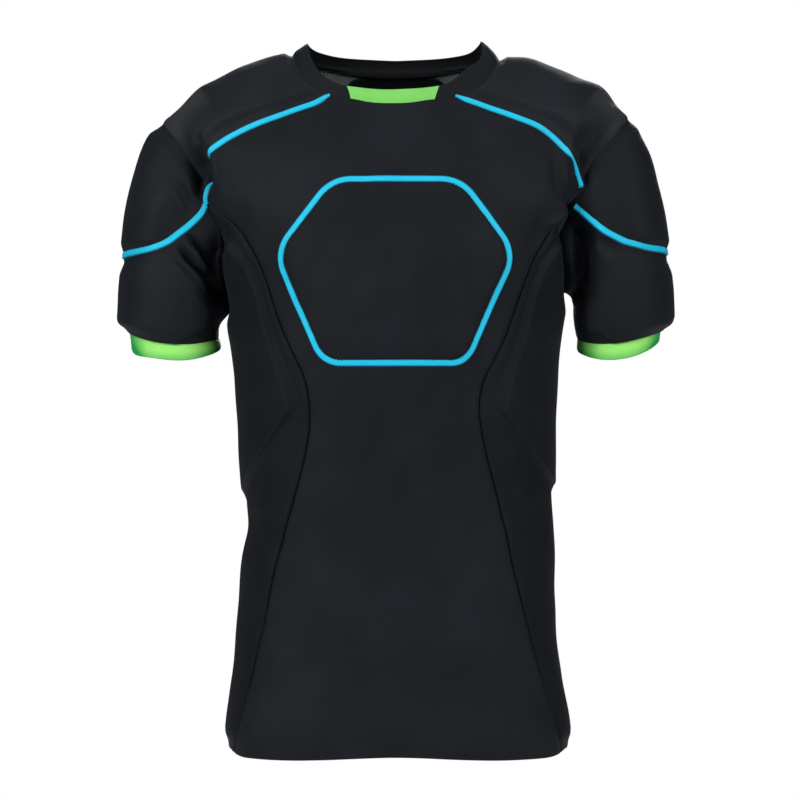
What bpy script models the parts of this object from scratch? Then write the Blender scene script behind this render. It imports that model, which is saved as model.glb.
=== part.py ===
"""Padded rugby vest: a short-sleeved stretch top with sewn-in foam pads.

The top stands open and hollow, as worn by a general figure. The front faces -Y, +X is the right of the
view, and the origin lies between the shoulders at the height of the neck base. Tables and sizes are in
millimetres, and each mesh is written in metres.
"""
import math

import bmesh
import bpy
import numpy as np

MM = 0.001

# Cloth wall, and the gaps at seams, round the armholes and under the collar
WALL = 2.0
SEAM_GAP = 0.3
ARM_GAP = 0.5
NECK_GAP = 0.5

# What lies on the cloth: its lift, the pads' height, rounding and room to their bands, and the bands
LIFT = 0.8
PAD_CLEAR = 0.8
SHOULDER_PAD = 6.0
DELTOID_PAD = 6.0
BICEP_PAD = 6.0
CHEST_PAD = 6.0
BACK_PAD = 6.0
RIB_PAD = 5.0
PAD_ROUND = 9.0
BAND_WIDTH = 5.4
BAND_THICK = 1.2
TAB_THICK = 2.2

# Hem height, its rise at the middle over a reach, and its rise at the sides
HEM_Z = -690.0
HEM_RISE = 5.0
HEM_RISE_REACH = 75.0
HEM_SIDE_RISE = 4.0

# Neck hole in plan, and the standing collar's top edge
NECK_HALF_WIDTH = 103.0
NECK_FRONT = 82.0
NECK_BACK = 58.0
COLLAR_HALF_WIDTH = 88.0
COLLAR_FRONT = 77.0
COLLAR_BACK = 55.0
NECK_SQUARE_FRONT = 3.0
NECK_SQUARE_BACK = 2.4
YOKE_NECK_HALF = 61.0
TAB_HALF_TOP = 45.0
TAB_HALF_BOTTOM = 40.0

# Armhole oval, seen from the side, with the angle where yoke and body seams meet it
ARM_Z = -148.0
ARM_RISE = 88.0
ARM_FRONT = 58.0
ARM_BACK = 60.0
ARM_TIP = 90.0

# Cap seam round the sleeve: its lowest share of the sleeve, its bend, and the share of its length to its corner
CAP_REACH = 0.61
CAP_BEND = 4.0
CAP_ROUND = 0.75
CAP_CORNER = 0.2

# Sleeve: rough length, squareness, the share that joins the armhole, and the angle that the cap spans below
SLEEVE_SPAN = 200.0
SLEEVE_SQUARE = 2.15
SLEEVE_JOIN = 0.35
CUFF_FAN = 118.0

# Cuff: shares of the sleeve where its rows lie, and how far each share past the end leads
CUFF_ROWS = (1.0, 1.08, 1.16)
CUFF_RUN = np.array((-6.0, 0.0, -100.0))

# z, half width, depth in front, depth behind, squareness of the section
TORSO = np.array((
    (-720, 171, 117, 114, 2.45),
    (-675, 171, 116, 113, 2.45),
    (-633, 166, 114, 112, 2.40),
    (-585, 161, 112, 108, 2.35),
    (-537, 157, 110, 103, 2.30),
    (-489, 153, 110, 98, 2.30),
    (-445, 150, 112, 96, 2.30),
    (-420, 151, 114, 98, 2.30),
    (-320, 156, 125, 110, 2.30),
    (-280, 160, 128, 116, 2.35),
    (-236, 165, 129, 120, 2.35),
    (-200, 173, 127, 123, 2.40),
    (-170, 185, 123, 123, 2.40),
    (-150, 197, 120, 121, 2.35),
    (-135, 205, 116, 119, 2.30),
    (-112, 216, 109, 115, 2.25),
    (-92, 225, 102, 110, 2.20),
    (-76, 230, 95, 104, 2.20),
    (-60, 231, 87, 97, 2.15),
    (-44, 216, 78, 88, 2.10),
    (-33, 203, 70, 80, 2.10),
    (-26, 187, 65, 74, 2.10),
    (-10, 147, 54, 60, 2.10),
    (-3, 125, 49, 54, 2.10),
    (0, 104, 46, 50, 2.10),
    (12, 60, 34, 38, 2.10),
))

# Ring along the sleeve: outer x and z, inner x and z, depth in front, depth behind, front drop
SLEEVE = np.array((
    (231, -60, 165, -236, 58, 60, 0),
    (242, -79, 169, -241, 60, 62, 0),
    (251, -98, 171, -245, 62, 64, 0),
    (258, -120, 173, -249, 62, 64, 1),
    (263, -143, 174, -253, 61, 63, 2),
    (267, -168, 175, -257, 60, 62, 4),
    (269, -192, 176, -261, 59, 61, 5),
    (270, -212, 177, -265, 59, 60, 6),
    (272, -234, 178, -269, 58, 59, 7),
    (272, -256, 179, -273, 56, 57, 8),
    (265, -275, 180, -278, 52, 53, 9),
), float)

# x and z of the seam from the neck to the front of the armhole, then of the one behind
YOKE_FRONT = ((106, -60), (146, -76), (168, -91), (180, -107), (184, -125))
YOKE_BACK = ((100, -32), (140, -60), (166, -88), (180, -112), (184, -128))

# x and z of the seam from the hem up to the armhole, in front and behind
SIDE_FRONT = ((163, HEM_Z), (137, -594), (101, -446), (85, -362), (111, -272), (147, -180))
SIDE_BACK = ((150, HEM_Z), (130, -594), (104, -446), (93, -362), (114, -272), (147, -180))

# x, z and corner radius of half the pad outline, from its top down
CHEST_OUTLINE = ((62, -127, 40), (116, -198, 36), (71, -304, 27))
BACK_OUTLINE = ((58, -52, 40), (112, -128, 36), (66, -246, 27))

# Angle round the neck and height of the collar's top edge
COLLAR_TOP = np.array((
    (0, -37),
    (25, -32),
    (45, -24),
    (66, -5),
    (90, 16),
    (120, 11),
    (150, 7),
    (180, 5),
), float)

# Share of the collar's height and how far the band swells out there
COLLAR_ROWS = np.array((
    (0, 0),
    (0.35, 1.2),
    (0.7, 1.0),
    (1, 0),
))

# Station spacing: pad borders stay flat by the seams and rise just beyond them
YOKE_ANGLES = (90, 86.5, 82, 71, 57, 43, 29, 14, 0)
YOKE_COLUMNS = (0, 0.04, 0.09, 0.22, 0.37, 0.52, 0.66, 0.73, 0.775, 0.88, 1)
YOKE_PAD_COLUMNS = (0.04, 0.09, 0.73, 0.775)
YOKE_PAD_ROWS = (0.035, 0.075, 0.925, 0.965)
SIDE_COLUMNS = (0, 0.04, 0.09, 0.18, 0.28, 0.39, 0.5, 0.61, 0.72, 0.82, 0.91, 0.96, 1)
LOW_SIDE_ROWS = 9
RIB_ROWS = (0, 0.02, 0.05, 0.16, 0.30, 0.45, 0.60, 0.74, 0.84, 0.94, 1)
RIB_PAD_ROWS = (0.02, 0.05, 0.84, 0.94)
RIB_PAD_COLUMNS = (0.04, 0.09, 0.91, 0.96)
PAD_ROWS = (0, 0.03, 0.08, 0.2, 0.34, 0.48, 0.6, 0.72, 0.83, 0.92, 0.97, 1)
PAD_COLUMNS = (0, 0.025, 0.07, 0.2, 0.35, 0.5, 0.65, 0.8, 0.93, 0.975, 1)
PAD_CORNERS = (70, 330)
CORNER_STEPS = 8
BODY_COLUMNS = 14
SLEEVE_ROWS = 6
CAP_ROWS = (0, 0.06, 0.13, 0.32, 0.52, 0.70, 0.87, 0.94, 1)
CAP_PAD_ROWS = (0.06, 0.13, 0.87, 0.94)
COLLAR_STATIONS = 36
TAB_STATIONS = 10
TAB_APART = 0.25
BORDER = 4.2
BORDER_MOST = 0.3
ROUND_MOST = 0.42
BICEP_ROWS = (0.42, 0.56)
BICEP_ANGLES = (112, 138)

# Flat bands: station spacing, and how far they stop from the neck, the armhole and the cap seam's tip
BAND_STEP = 9.0
BAND_NECK_END = 4.0
BAND_ARM_END = 30.0
CAP_BAND_END = 12.0

# Working steps: fine lines, moves onto the body, search heights for the shoulders, limits of mitred corners
FINE_STEPS = 400
SETTLE_STEPS = 7
SEARCH_STEPS = 40
SHOULDER_SEARCH = (-320.0, 12.0)
MITRE_LEAST = 0.7
CORNER_LEAST = 0.08
MERGE = 1e-6
SHARP_ANGLE = 50.0
EDGE_LINES = {"bottom": (0, 1), "top": (-1, -2), "left": (0, 1), "right": (-1, -2)}

# Rib pad: x and z of its lower edge from the side seam, and its lowest point at the side
RIB_FOOT = ((100, -350), (120, -370), (142, -400))
RIB_TIP_Z = -427.0
RIB_SEAM_Z = -338.0

# Soft rolls of cloth beside the armholes: x and z of the two ends, half width, height
FRONT_ROLLS = (
    (170, -112, 171, -134, 8, 5.0),
    (160, -158, 139, -192, 7, 3.0),
)

FINISHES = {
    "body_cloth": ((0.016, 0.018, 0.021), 0.62),
    "side_cloth": ((0.020, 0.023, 0.026), 0.55),
    "pad_cloth": ((0.022, 0.025, 0.029), 0.58),
    "sleeve_cloth": ((0.017, 0.020, 0.024), 0.60),
    "collar_cloth": ((0.016, 0.020, 0.024), 0.66),
    "cyan_thread": ((0.014, 0.510, 0.780), 0.45),
    "green_elastic": ((0.180, 0.720, 0.160), 0.50),
}


def table_column(places, values, at):
    """Read one table column between its rows, without overshoot."""
    steps = np.diff(places)
    slopes = np.diff(values) / steps
    before, after = slopes[:-1], slopes[1:]
    near = 2 * steps[1:] + steps[:-1]
    far = steps[1:] + 2 * steps[:-1]
    same_way = before * after > 0
    safe_before = np.where(same_way, before, 1.0)
    safe_after = np.where(same_way, after, 1.0)
    inner = np.where(same_way, (near + far) / (near / safe_before + far / safe_after), 0.0)
    tangents = np.concatenate(([slopes[0]], inner, [slopes[-1]]))
    row = np.clip(np.searchsorted(places, at) - 1, 0, len(steps) - 1)
    t = (at - places[row]) / steps[row]
    rise = values[row + 1] - values[row]
    start = tangents[row] * steps[row]
    end = tangents[row + 1] * steps[row]
    return values[row] + t * (start + t * (3 * rise - 2 * start - end + t * (start + end - 2 * rise)))


def torso_section(z):
    """Half width, front depth, back depth and squareness of the body at height z."""
    return [table_column(TORSO[:, 0], TORSO[:, column], np.asarray(z, float)) for column in (1, 2, 3, 4)]


def torso_level(points):
    """How far out each point lies: 1 on the outside of the cloth, less within."""
    width, front, back, power = torso_section(points[..., 2])
    depth = np.where(points[..., 1] < 0, front, back)
    sum_of_powers = (np.abs(points[..., 0]) / width) ** power + (np.abs(points[..., 1]) / depth) ** power
    return sum_of_powers ** (1 / power)


def torso_slope(points):
    """Gradient of the level, by central differences."""
    step = 0.05
    columns = []
    for axis in range(3):
        shift = np.zeros(3)
        shift[axis] = step
        columns.append((torso_level(points + shift) - torso_level(points - shift)) / (2 * step))
    return np.stack(columns, axis=-1)


def unit(vectors):
    """Vectors at length 1."""
    return vectors / np.maximum(np.linalg.norm(vectors, axis=-1, keepdims=True), 1e-9)


def torso_normal(points):
    """Outward direction of the body cloth."""
    return unit(torso_slope(points))


def onto_torso(points):
    """Move points onto the body cloth."""
    points = np.array(points, float)
    for _ in range(SETTLE_STEPS):
        slope = torso_slope(points)
        excess = torso_level(points) - 1
        points -= excess[..., None] * slope / np.sum(slope * slope, axis=-1, keepdims=True)
    return points


def face_point(x, z, behind):
    """Point on the front or the back of the body at x and z."""
    x = np.asarray(x, float)
    z = np.asarray(z, float)
    width, front, back, power = torso_section(z)
    share = np.clip(1 - (np.abs(x) / width) ** power, 0, 1) ** (1 / power)
    y = back * share if behind else -front * share
    return np.stack((x, y, z), axis=-1)


def side_point(y, z):
    """Point on the +X side of the body at y and z."""
    width, front, back, power = torso_section(z)
    depth = np.where(y < 0, front, back)
    x = width * np.clip(1 - (np.abs(y) / depth) ** power, 0, 1) ** (1 / power)
    return np.stack((x, y, z), axis=-1)


def top_point(x, y):
    """Point on the shoulders straight above or below plan position x, y."""
    low = np.full(np.shape(x), SHOULDER_SEARCH[0])
    high = np.full(np.shape(x), SHOULDER_SEARCH[1])
    for _ in range(SEARCH_STEPS):
        middle = (low + high) / 2
        inside = torso_level(np.stack((x, y, middle), axis=-1)) < 1
        low = np.where(inside, middle, low)
        high = np.where(inside, high, middle)
    return np.stack((x, y, (low + high) / 2), axis=-1)


def lengths_along(points):
    """Distance of each point along a polyline."""
    return np.concatenate(([0.0], np.cumsum(np.linalg.norm(np.diff(points, axis=0), axis=1))))


def resample(points, shares):
    """Points at the given shares of a polyline's length."""
    along = lengths_along(points)
    wanted = np.asarray(shares, float) * along[-1]
    return np.stack([np.interp(wanted, along, points[:, axis]) for axis in range(points.shape[1])], axis=-1)


def smooth_through(knots, fine=24):
    """Dense curve through a few knots."""
    knots = np.array(knots, float)
    along = lengths_along(knots)
    at = np.linspace(0, along[-1], fine * (len(knots) - 1) + 1)
    return np.stack([table_column(along, knots[:, axis], at) for axis in range(knots.shape[1])], axis=-1)


def ramp(value, start, full):
    """Rise from 0 at start to 1 at full."""
    return np.clip((np.asarray(value, float) - start) / (full - start), 0, 1)


def flat_top(places, borders):
    """Pad height over a run of places: 0 outside the borders, 1 between their inner pair."""
    low, up, down, end = borders
    return ramp(places, low, up) * (1 - ramp(places, down, end))


def armhole(angles):
    """Points round the +X armhole: 0 at the top, 90 in front, 180 under the arm."""
    turn = np.radians(angles)
    y = np.where(np.sin(turn) > 0, -ARM_FRONT, -ARM_BACK) * np.sin(turn)
    return side_point(y, ARM_Z + ARM_RISE * np.cos(turn))


def sleeve_ring(s, angles):
    """Sleeve section before it is joined to the armhole."""
    place = np.clip(np.asarray(s, float), 0, 1) * (len(SLEEVE) - 1)
    rows = np.arange(len(SLEEVE), dtype=float)
    out_x, out_z, in_x, in_z, front, back, drop = [table_column(rows, column, place) for column in SLEEVE.T]
    turn = np.radians(angles)
    bend = 2 / SLEEVE_SQUARE
    across = np.sign(np.cos(turn)) * np.abs(np.cos(turn)) ** bend
    forward = np.sign(np.sin(turn)) * np.abs(np.sin(turn)) ** bend
    x = (out_x + in_x) / 2 + across * (out_x - in_x) / 2
    z = (out_z + in_z) / 2 + across * (out_z - in_z) / 2 - drop * forward
    y = -np.where(forward > 0, front, back) * forward
    return np.stack((x, y, z), axis=-1)


def sleeve_point(s, angles):
    """Point on the +X sleeve: s runs from the armhole, 0, to the cuff, 1, and past it."""
    s, angles = np.broadcast_arrays(np.asarray(s, float), np.asarray(angles, float))
    pull = armhole(angles) - sleeve_ring(np.zeros_like(s), angles)
    fade = np.clip(1 - s / SLEEVE_JOIN, 0, 1) ** 2
    below = np.maximum(s - 1, 0)[..., None] * CUFF_RUN
    return sleeve_ring(s, angles) + fade[..., None] * pull + below


def sleeve_slope(s, angles):
    """Change of the sleeve point with s."""
    step = 1e-3
    low = np.maximum(np.asarray(s, float) - step, 0)
    high = np.asarray(s, float) + step
    return (sleeve_point(high, angles) - sleeve_point(low, angles)) / (high - low)[..., None]


def sleeve_normal(s, angles):
    """Outward direction of the sleeve cloth."""
    step = 0.05
    s, angles = np.broadcast_arrays(np.asarray(s, float), np.asarray(angles, float))
    around = sleeve_point(s, angles + step) - sleeve_point(s, angles - step)
    return unit(np.cross(around, sleeve_slope(s, angles)))


def folded(angles):
    """Angles round the arm from the outside, between -180 and 180."""
    return (np.asarray(angles, float) + 180) % 360 - 180


def cap_line():
    """Dense cap seam from the front tip over the outside to the back one, as sleeve share and angle."""
    share = np.linspace(0, 1, FINE_STEPS)
    angle = ARM_TIP * (1 - share ** CAP_BEND) ** CAP_ROUND
    front = np.stack((CAP_REACH * share, angle), axis=-1)
    return np.concatenate((front, front[-2::-1] * np.array((1, -1))))


def neck_plan(angles, half_width, front, back):
    """Plan oval of the neck: 0 in front, 90 at the +X side, 180 behind."""
    turn = np.radians(angles)
    ahead = np.cos(turn) > 0
    bend = np.where(ahead, 2 / NECK_SQUARE_FRONT, 2 / NECK_SQUARE_BACK)
    x = np.sign(np.sin(turn)) * np.abs(np.sin(turn)) ** bend * half_width
    y = np.where(ahead, -front, back) * np.abs(np.cos(turn)) ** bend
    return x, y


def neck_edge(angles):
    """Neck seam on the body."""
    return top_point(*neck_plan(angles, NECK_HALF_WIDTH, NECK_FRONT, NECK_BACK))


def collar_edge(angles):
    """Top edge of the collar."""
    x, y = neck_plan(angles, COLLAR_HALF_WIDTH, COLLAR_FRONT, COLLAR_BACK)
    z = table_column(COLLAR_TOP[:, 0], COLLAR_TOP[:, 1], np.abs(folded(angles)))
    return np.stack((x, y, z), axis=-1)


def neck_angle(x, half_width, behind):
    """Angle at which the neck oval reaches x."""
    square = NECK_SQUARE_BACK if behind else NECK_SQUARE_FRONT
    turn = math.degrees(math.asin((x / half_width) ** (square / 2)))
    return 180 - turn if behind else turn


def collar_direction(angles):
    """Outward direction of the collar at the neck seam."""
    up = unit(collar_edge(angles) - neck_edge(angles))
    around = neck_edge(np.asarray(angles, float) + 0.5) - neck_edge(np.asarray(angles, float) - 0.5)
    return unit(np.cross(around, up))


def arm_mitre(angles):
    """Wall direction that body and sleeve share round the armhole."""
    angles = np.asarray(angles, float)
    return mitre(torso_normal(armhole(angles)), sleeve_normal(np.zeros(angles.shape), angles))


def mitre(first, second):
    """Direction that splits two wall directions, long enough to keep both walls whole."""
    middle = unit(first + second)
    return middle / np.maximum(np.sum(middle * first, axis=-1, keepdims=True), MITRE_LEAST)


def shares_of(first, second):
    """Mean share along two opposite edges."""
    shares = [lengths_along(edge) / lengths_along(edge)[-1] for edge in (first, second)]
    return (shares[0] + shares[1]) / 2


def patch(bottom, top, left, right):
    """Grid of points filling four edges: rows run from bottom to top, columns from left to right."""
    u = shares_of(bottom, top)[None, :, None]
    v = shares_of(left, right)[:, None, None]
    between_sides = (1 - u) * left[:, None] + u * right[:, None]
    between_ends = (1 - v) * bottom[None] + v * top[None]
    corners = ((1 - u) * (1 - v) * bottom[0] + u * (1 - v) * bottom[-1]
               + (1 - u) * v * top[0] + u * v * top[-1])
    return between_sides + between_ends - corners


def body_patch(bottom, top, left, right):
    """Patch with its inner points moved onto the body."""
    grid = patch(bottom, top, left, right)
    grid[1:-1, 1:-1] = onto_torso(grid[1:-1, 1:-1])
    return grid


def inward_of(grid, edge):
    """Directions that lead from one edge of a grid into its cloth."""
    outer, inner = EDGE_LINES[edge]
    turned = grid if edge in ("bottom", "top") else grid.swapaxes(0, 1)
    along = unit(np.gradient(turned[outer], axis=0))
    inwards = turned[inner] - turned[outer]
    return unit(inwards - np.sum(inwards * along, axis=1, keepdims=True) * along)


def draw_in(grid, amounts):
    """Move the named edges of a grid inwards along the cloth by their amounts, for seam gaps."""
    moved = grid.copy()
    inward = {edge: inward_of(grid, edge) for edge in amounts}
    for edge, amount in amounts.items():
        outer = EDGE_LINES[edge][0]
        if edge in ("bottom", "top"):
            moved[outer, 1:-1] += amount * inward[edge][1:-1]
        else:
            moved[1:-1, outer] += amount * inward[edge][1:-1]
    for level in ("bottom", "top"):
        for side in ("left", "right"):
            row, column = EDGE_LINES[level][0], EDGE_LINES[side][0]
            ends = [amounts[edge] * inward[edge][place] for edge, place in ((level, column), (side, row))
                    if edge in amounts]
            if len(ends) == 2:
                first, second = unit(ends[0]), unit(ends[1])
                widest = max(amounts[level], amounts[side])
                moved[row, column] += widest * (first + second) / max(1 + first @ second, CORNER_LEAST)
            elif ends:
                moved[row, column] += ends[0]
    return moved


def finish(name):
    """Material of one finish."""
    colour, roughness = FINISHES[name]
    material = bpy.data.materials.get(name) or bpy.data.materials.new(name)
    material.use_nodes = True
    shader = material.node_tree.nodes["Principled BSDF"]
    shader.inputs["Base Color"].default_value = (*colour, 1.0)
    shader.inputs["Roughness"].default_value = roughness
    shader.inputs["Metallic"].default_value = 0.0
    return material


def wall(name, inside, outside, material, closed=False, mirrored=False):
    """Closed solid between two grids of points, as one named object."""
    rows, columns = inside.shape[:2]
    flip = np.array((-MM, MM, MM) if mirrored else (MM, MM, MM))
    near = (inside * flip).reshape(-1, 3)
    far = (outside * flip).reshape(-1, 3)
    sheet = bmesh.new()
    place = sheet.verts.layers.int.new("place")
    corners = []
    for index, point in enumerate(near):
        corner = sheet.verts.new(point)
        corner[place] = index
        corners.append(corner)
    for row in range(rows - 1):
        for column in range(columns if closed else columns - 1):
            right = (column + 1) % columns
            sheet.faces.new([corners[row * columns + column], corners[row * columns + right],
                             corners[(row + 1) * columns + right], corners[(row + 1) * columns + column]])
    bmesh.ops.remove_doubles(sheet, verts=sheet.verts[:], dist=MERGE)
    made = bmesh.ops.extrude_face_region(sheet, geom=sheet.faces[:], use_keep_orig=True)
    for corner in made["geom"]:
        if isinstance(corner, bmesh.types.BMVert):
            corner.co = far[corner[place]]
    bmesh.ops.recalc_face_normals(sheet, faces=sheet.faces[:])
    bmesh.ops.triangulate(sheet, faces=sheet.faces[:])
    mesh = bpy.data.meshes.new(name)
    sheet.to_mesh(mesh)
    sheet.free()
    mesh.shade_smooth()
    mesh.set_sharp_from_angle(angle=math.radians(SHARP_ANGLE))
    mesh.materials.append(finish(material))
    piece = bpy.data.objects.new(name, mesh)
    bpy.context.scene.collection.objects.link(piece)
    return piece


def both_sides(stem, inside, outside, material, closed=False):
    """The same piece for the right of the view and, mirrored, for the left."""
    wall(stem + "_right", inside, outside, material, closed)
    wall(stem + "_left", inside, outside, material, closed, mirrored=True)


class Seams:
    """Seam lines that neighbouring panels share, on the +X half."""

    def __init__(self):
        front_angles = np.array(YOKE_ANGLES, float)
        self.yoke_angles = np.concatenate((front_angles, -front_angles[-2::-1]))
        self.under_angles = np.interp(SIDE_COLUMNS, (0, 1), (ARM_TIP, 360 - ARM_TIP))
        self.arm_top = armhole(self.yoke_angles)
        self.arm_under = armhole(self.under_angles)
        self.yoke_front = self.yoke_seam(YOKE_FRONT, self.arm_top[0], behind=False)
        self.yoke_back = self.yoke_seam(YOKE_BACK, self.arm_top[-1], behind=True)
        self.side_front = self.side_seam(SIDE_FRONT, self.arm_top[0], behind=False)
        self.side_back = self.side_seam(SIDE_BACK, self.arm_top[-1], behind=True)
        first = neck_angle(YOKE_NECK_HALF, NECK_HALF_WIDTH, behind=False)
        last = neck_angle(YOKE_NECK_HALF, NECK_HALF_WIDTH, behind=True)
        arm_shares = lengths_along(self.arm_top) / lengths_along(self.arm_top)[-1]
        fine = np.linspace(first, last, FINE_STEPS)
        neck_lengths = lengths_along(neck_edge(fine))
        self.neck_angles = np.interp(arm_shares, neck_lengths / neck_lengths[-1], fine)
        self.neck_side = neck_edge(self.neck_angles)
        self.front_neck_angles = np.linspace(-first, first, BODY_COLUMNS + 1)
        self.back_neck_angles = np.linspace(360 - last, last, BODY_COLUMNS + 1)
        self.arm_thick = arm_mitre(self.yoke_angles)
        self.arm_shares = arm_shares
        self.cap_fine = cap_line()
        self.cap_lengths = lengths_along(sleeve_point(*self.cap_fine.T))
        self.cap_steep = CAP_CORNER * np.array(CAP_ROWS)
        self.cap_flat = CAP_CORNER + (1 - 2 * CAP_CORNER) * arm_shares

    def cap_places(self, shares):
        """Sleeve share and angle at shares of the cap seam's length."""
        wanted = np.asarray(shares) * self.cap_lengths[-1]
        return np.stack([np.interp(wanted, self.cap_lengths, column) for column in self.cap_fine.T], axis=-1)

    @staticmethod
    def yoke_seam(knots, arm_point, behind):
        """Seam from the neck to the armhole tip."""
        neck = neck_edge(np.array([neck_angle(YOKE_NECK_HALF, NECK_HALF_WIDTH, behind)]))[0]
        line = smooth_through(((neck[0], neck[2]), *knots, (arm_point[0], arm_point[2])))
        seam = face_point(line[:, 0], line[:, 1], behind)
        seam[0] = neck
        seam[-1] = arm_point
        return resample(seam, YOKE_COLUMNS)

    @staticmethod
    def side_seam(knots, arm_point, behind):
        """Seam from the hem to the armhole tip."""
        line = smooth_through((*knots, (arm_point[0], arm_point[2])))
        seam = face_point(line[:, 0], line[:, 1], behind)
        seam[-1] = arm_point
        turn = np.searchsorted(seam[:, 2], RIB_SEAM_Z)
        low = resample(seam[:turn + 1], np.linspace(0, 1, LOW_SIDE_ROWS + 1))
        high = resample(seam[turn:], RIB_ROWS)
        return np.concatenate((low, high[1:]))


def hem_line(start, end, count, behind):
    """Hem from one seam foot to the other across the front or back."""
    shares = np.linspace(0, 1, count + 1)
    dense = face_point(np.linspace(start, end, FINE_STEPS), np.full(FINE_STEPS, HEM_Z), behind)
    x = (start + shares * (end - start) + resample(dense, shares)[:, 0]) / 2
    rise = HEM_RISE * np.exp(-(x / HEM_RISE_REACH) ** 2)
    edge_rise = HEM_RISE * math.exp(-(end / HEM_RISE_REACH) ** 2)
    return face_point(x, HEM_Z + np.maximum(rise - edge_rise, 0), behind)


def side_hem(seams):
    """Hem round the side from the front seam to the back one."""
    front, back = seams.side_front[0], seams.side_back[0]
    turn = np.linspace(math.atan2(front[1], front[0]), math.atan2(back[1], back[0]), FINE_STEPS)
    rise = HEM_SIDE_RISE * np.sin(np.linspace(0, math.pi, FINE_STEPS)) ** 2
    ring = np.stack((front[0] * np.cos(turn), back[1] * np.sin(turn), HEM_Z + rise), axis=-1)
    for _ in range(SETTLE_STEPS):
        ring[:, :2] /= torso_level(ring)[:, None]
    ring[0], ring[-1] = front, back
    return resample(ring, SIDE_COLUMNS)


def roll_height(points, rolls):
    """Height of the soft rolls of cloth at points of a panel."""
    height = np.zeros(points.shape[:-1])
    place = np.stack((np.abs(points[..., 0]), points[..., 2]), axis=-1)
    for x0, z0, x1, z1, half_width, peak in rolls:
        start, run = np.array((x0, z0), float), np.array((x1 - x0, z1 - z0), float)
        along = np.clip(np.sum((place - start) * run, axis=-1) / np.sum(run * run), 0, 1)
        off = np.linalg.norm(place - start - along[..., None] * run, axis=-1)
        height = np.maximum(height, peak * np.exp(-(off / half_width) ** 2))
    return height


def edge_fade(shape):
    """0 on the edge of a grid and 1 inside it."""
    fade = np.ones(shape)
    fade[0], fade[-1], fade[:, 0], fade[:, -1] = 0, 0, 0, 0
    return fade


def mirror_x(points):
    """Points on the other side of the body."""
    return points * np.array((-1.0, 1.0, 1.0))


def body_panel(name, seams, behind):
    """Front or back panel: hem, side seams, yoke seams and neck."""
    side = seams.side_back if behind else seams.side_front
    yoke = seams.yoke_back if behind else seams.yoke_front
    angles = seams.back_neck_angles if behind else seams.front_neck_angles
    right = np.concatenate((side, yoke[-2::-1]))
    left = mirror_x(right)
    bottom = hem_line(-side[0][0], side[0][0], BODY_COLUMNS, behind)
    bottom[0], bottom[-1] = left[0], right[0]
    top = neck_edge(angles)
    top[0], top[-1] = left[-1], right[-1]
    grid = body_patch(bottom, top, left, right)
    thick = torso_normal(grid)
    thick[-1] = mitre(thick[-1], collar_direction(angles))
    tip = len(side) - 1
    thick[tip, -1] = seams.arm_thick[-1 if behind else 0]
    thick[tip, 0] = mirror_x(thick[tip, -1])
    grid = draw_in(grid, {"left": SEAM_GAP / 2, "right": SEAM_GAP / 2, "top": SEAM_GAP / 2})
    rolls = FRONT_ROLLS if not behind else FRONT_ROLLS[1:]
    lifted = grid + (roll_height(grid, rolls) * edge_fade(grid.shape[:2]))[..., None] * thick
    wall(name, lifted - WALL * thick, lifted, "body_cloth")


def rib_line(seams):
    """Lower edge of the rib pad across the side, from the front seam to the back one."""
    knots = np.array(RIB_FOOT, float)
    front = face_point(knots[:, 0], knots[:, 1], behind=False)
    back = face_point(knots[::-1, 0], knots[::-1, 1], behind=True)
    tip = side_point(np.array([0.0]), np.array([RIB_TIP_Z]))
    ends = seams.side_front[LOW_SIDE_ROWS], seams.side_back[LOW_SIDE_ROWS]
    line = smooth_through(np.concatenate((ends[:1], front, tip, back, ends[1:])))
    return onto_torso(resample(line, SIDE_COLUMNS))


def side_panels(seams):
    """Side panels under the arms, with the rib pad raised in the cloth above the waist."""
    middle = rib_line(seams)
    middle[0], middle[-1] = seams.side_front[LOW_SIDE_ROWS], seams.side_back[LOW_SIDE_ROWS]
    split = LOW_SIDE_ROWS + 1
    low = body_patch(side_hem(seams), middle, seams.side_front[:split], seams.side_back[:split])
    high = body_patch(middle, seams.arm_under, seams.side_front[split - 1:], seams.side_back[split - 1:])
    grid = np.concatenate((low, high[1:]))
    thick = torso_normal(grid)
    thick[-1] = arm_mitre(seams.under_angles)
    grid = draw_in(grid, {"left": SEAM_GAP / 2, "right": SEAM_GAP / 2, "top": ARM_GAP / 2})
    over_rows = np.concatenate((np.zeros(LOW_SIDE_ROWS), flat_top(RIB_ROWS, RIB_PAD_ROWS)))
    over_columns = flat_top(SIDE_COLUMNS, RIB_PAD_COLUMNS)
    pad = RIB_PAD * np.minimum(over_rows[:, None], over_columns[None, :])
    both_sides("side_panel", grid - WALL * thick, grid + pad[..., None] * thick, "side_cloth")


def shoulder_yokes(seams):
    """Shoulder yokes, with the shoulder pad raised in the cloth between the seams."""
    grid = body_patch(seams.yoke_front, seams.yoke_back, seams.neck_side, seams.arm_top)
    thick = torso_normal(grid)
    thick[:, 0] = mitre(thick[:, 0], collar_direction(seams.neck_angles))
    thick[:, -1] = seams.arm_thick
    rows = lengths_along(seams.arm_top) / lengths_along(seams.arm_top)[-1]
    pad = SHOULDER_PAD * np.minimum(flat_top(rows, YOKE_PAD_ROWS)[:, None],
                                    flat_top(YOKE_COLUMNS, YOKE_PAD_COLUMNS)[None, :])
    half = SEAM_GAP / 2
    grid = draw_in(grid, {"bottom": half, "top": half, "left": half, "right": ARM_GAP / 2})
    both_sides("shoulder_yoke", grid - WALL * thick, grid + pad[..., None] * thick, "pad_cloth")


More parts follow.
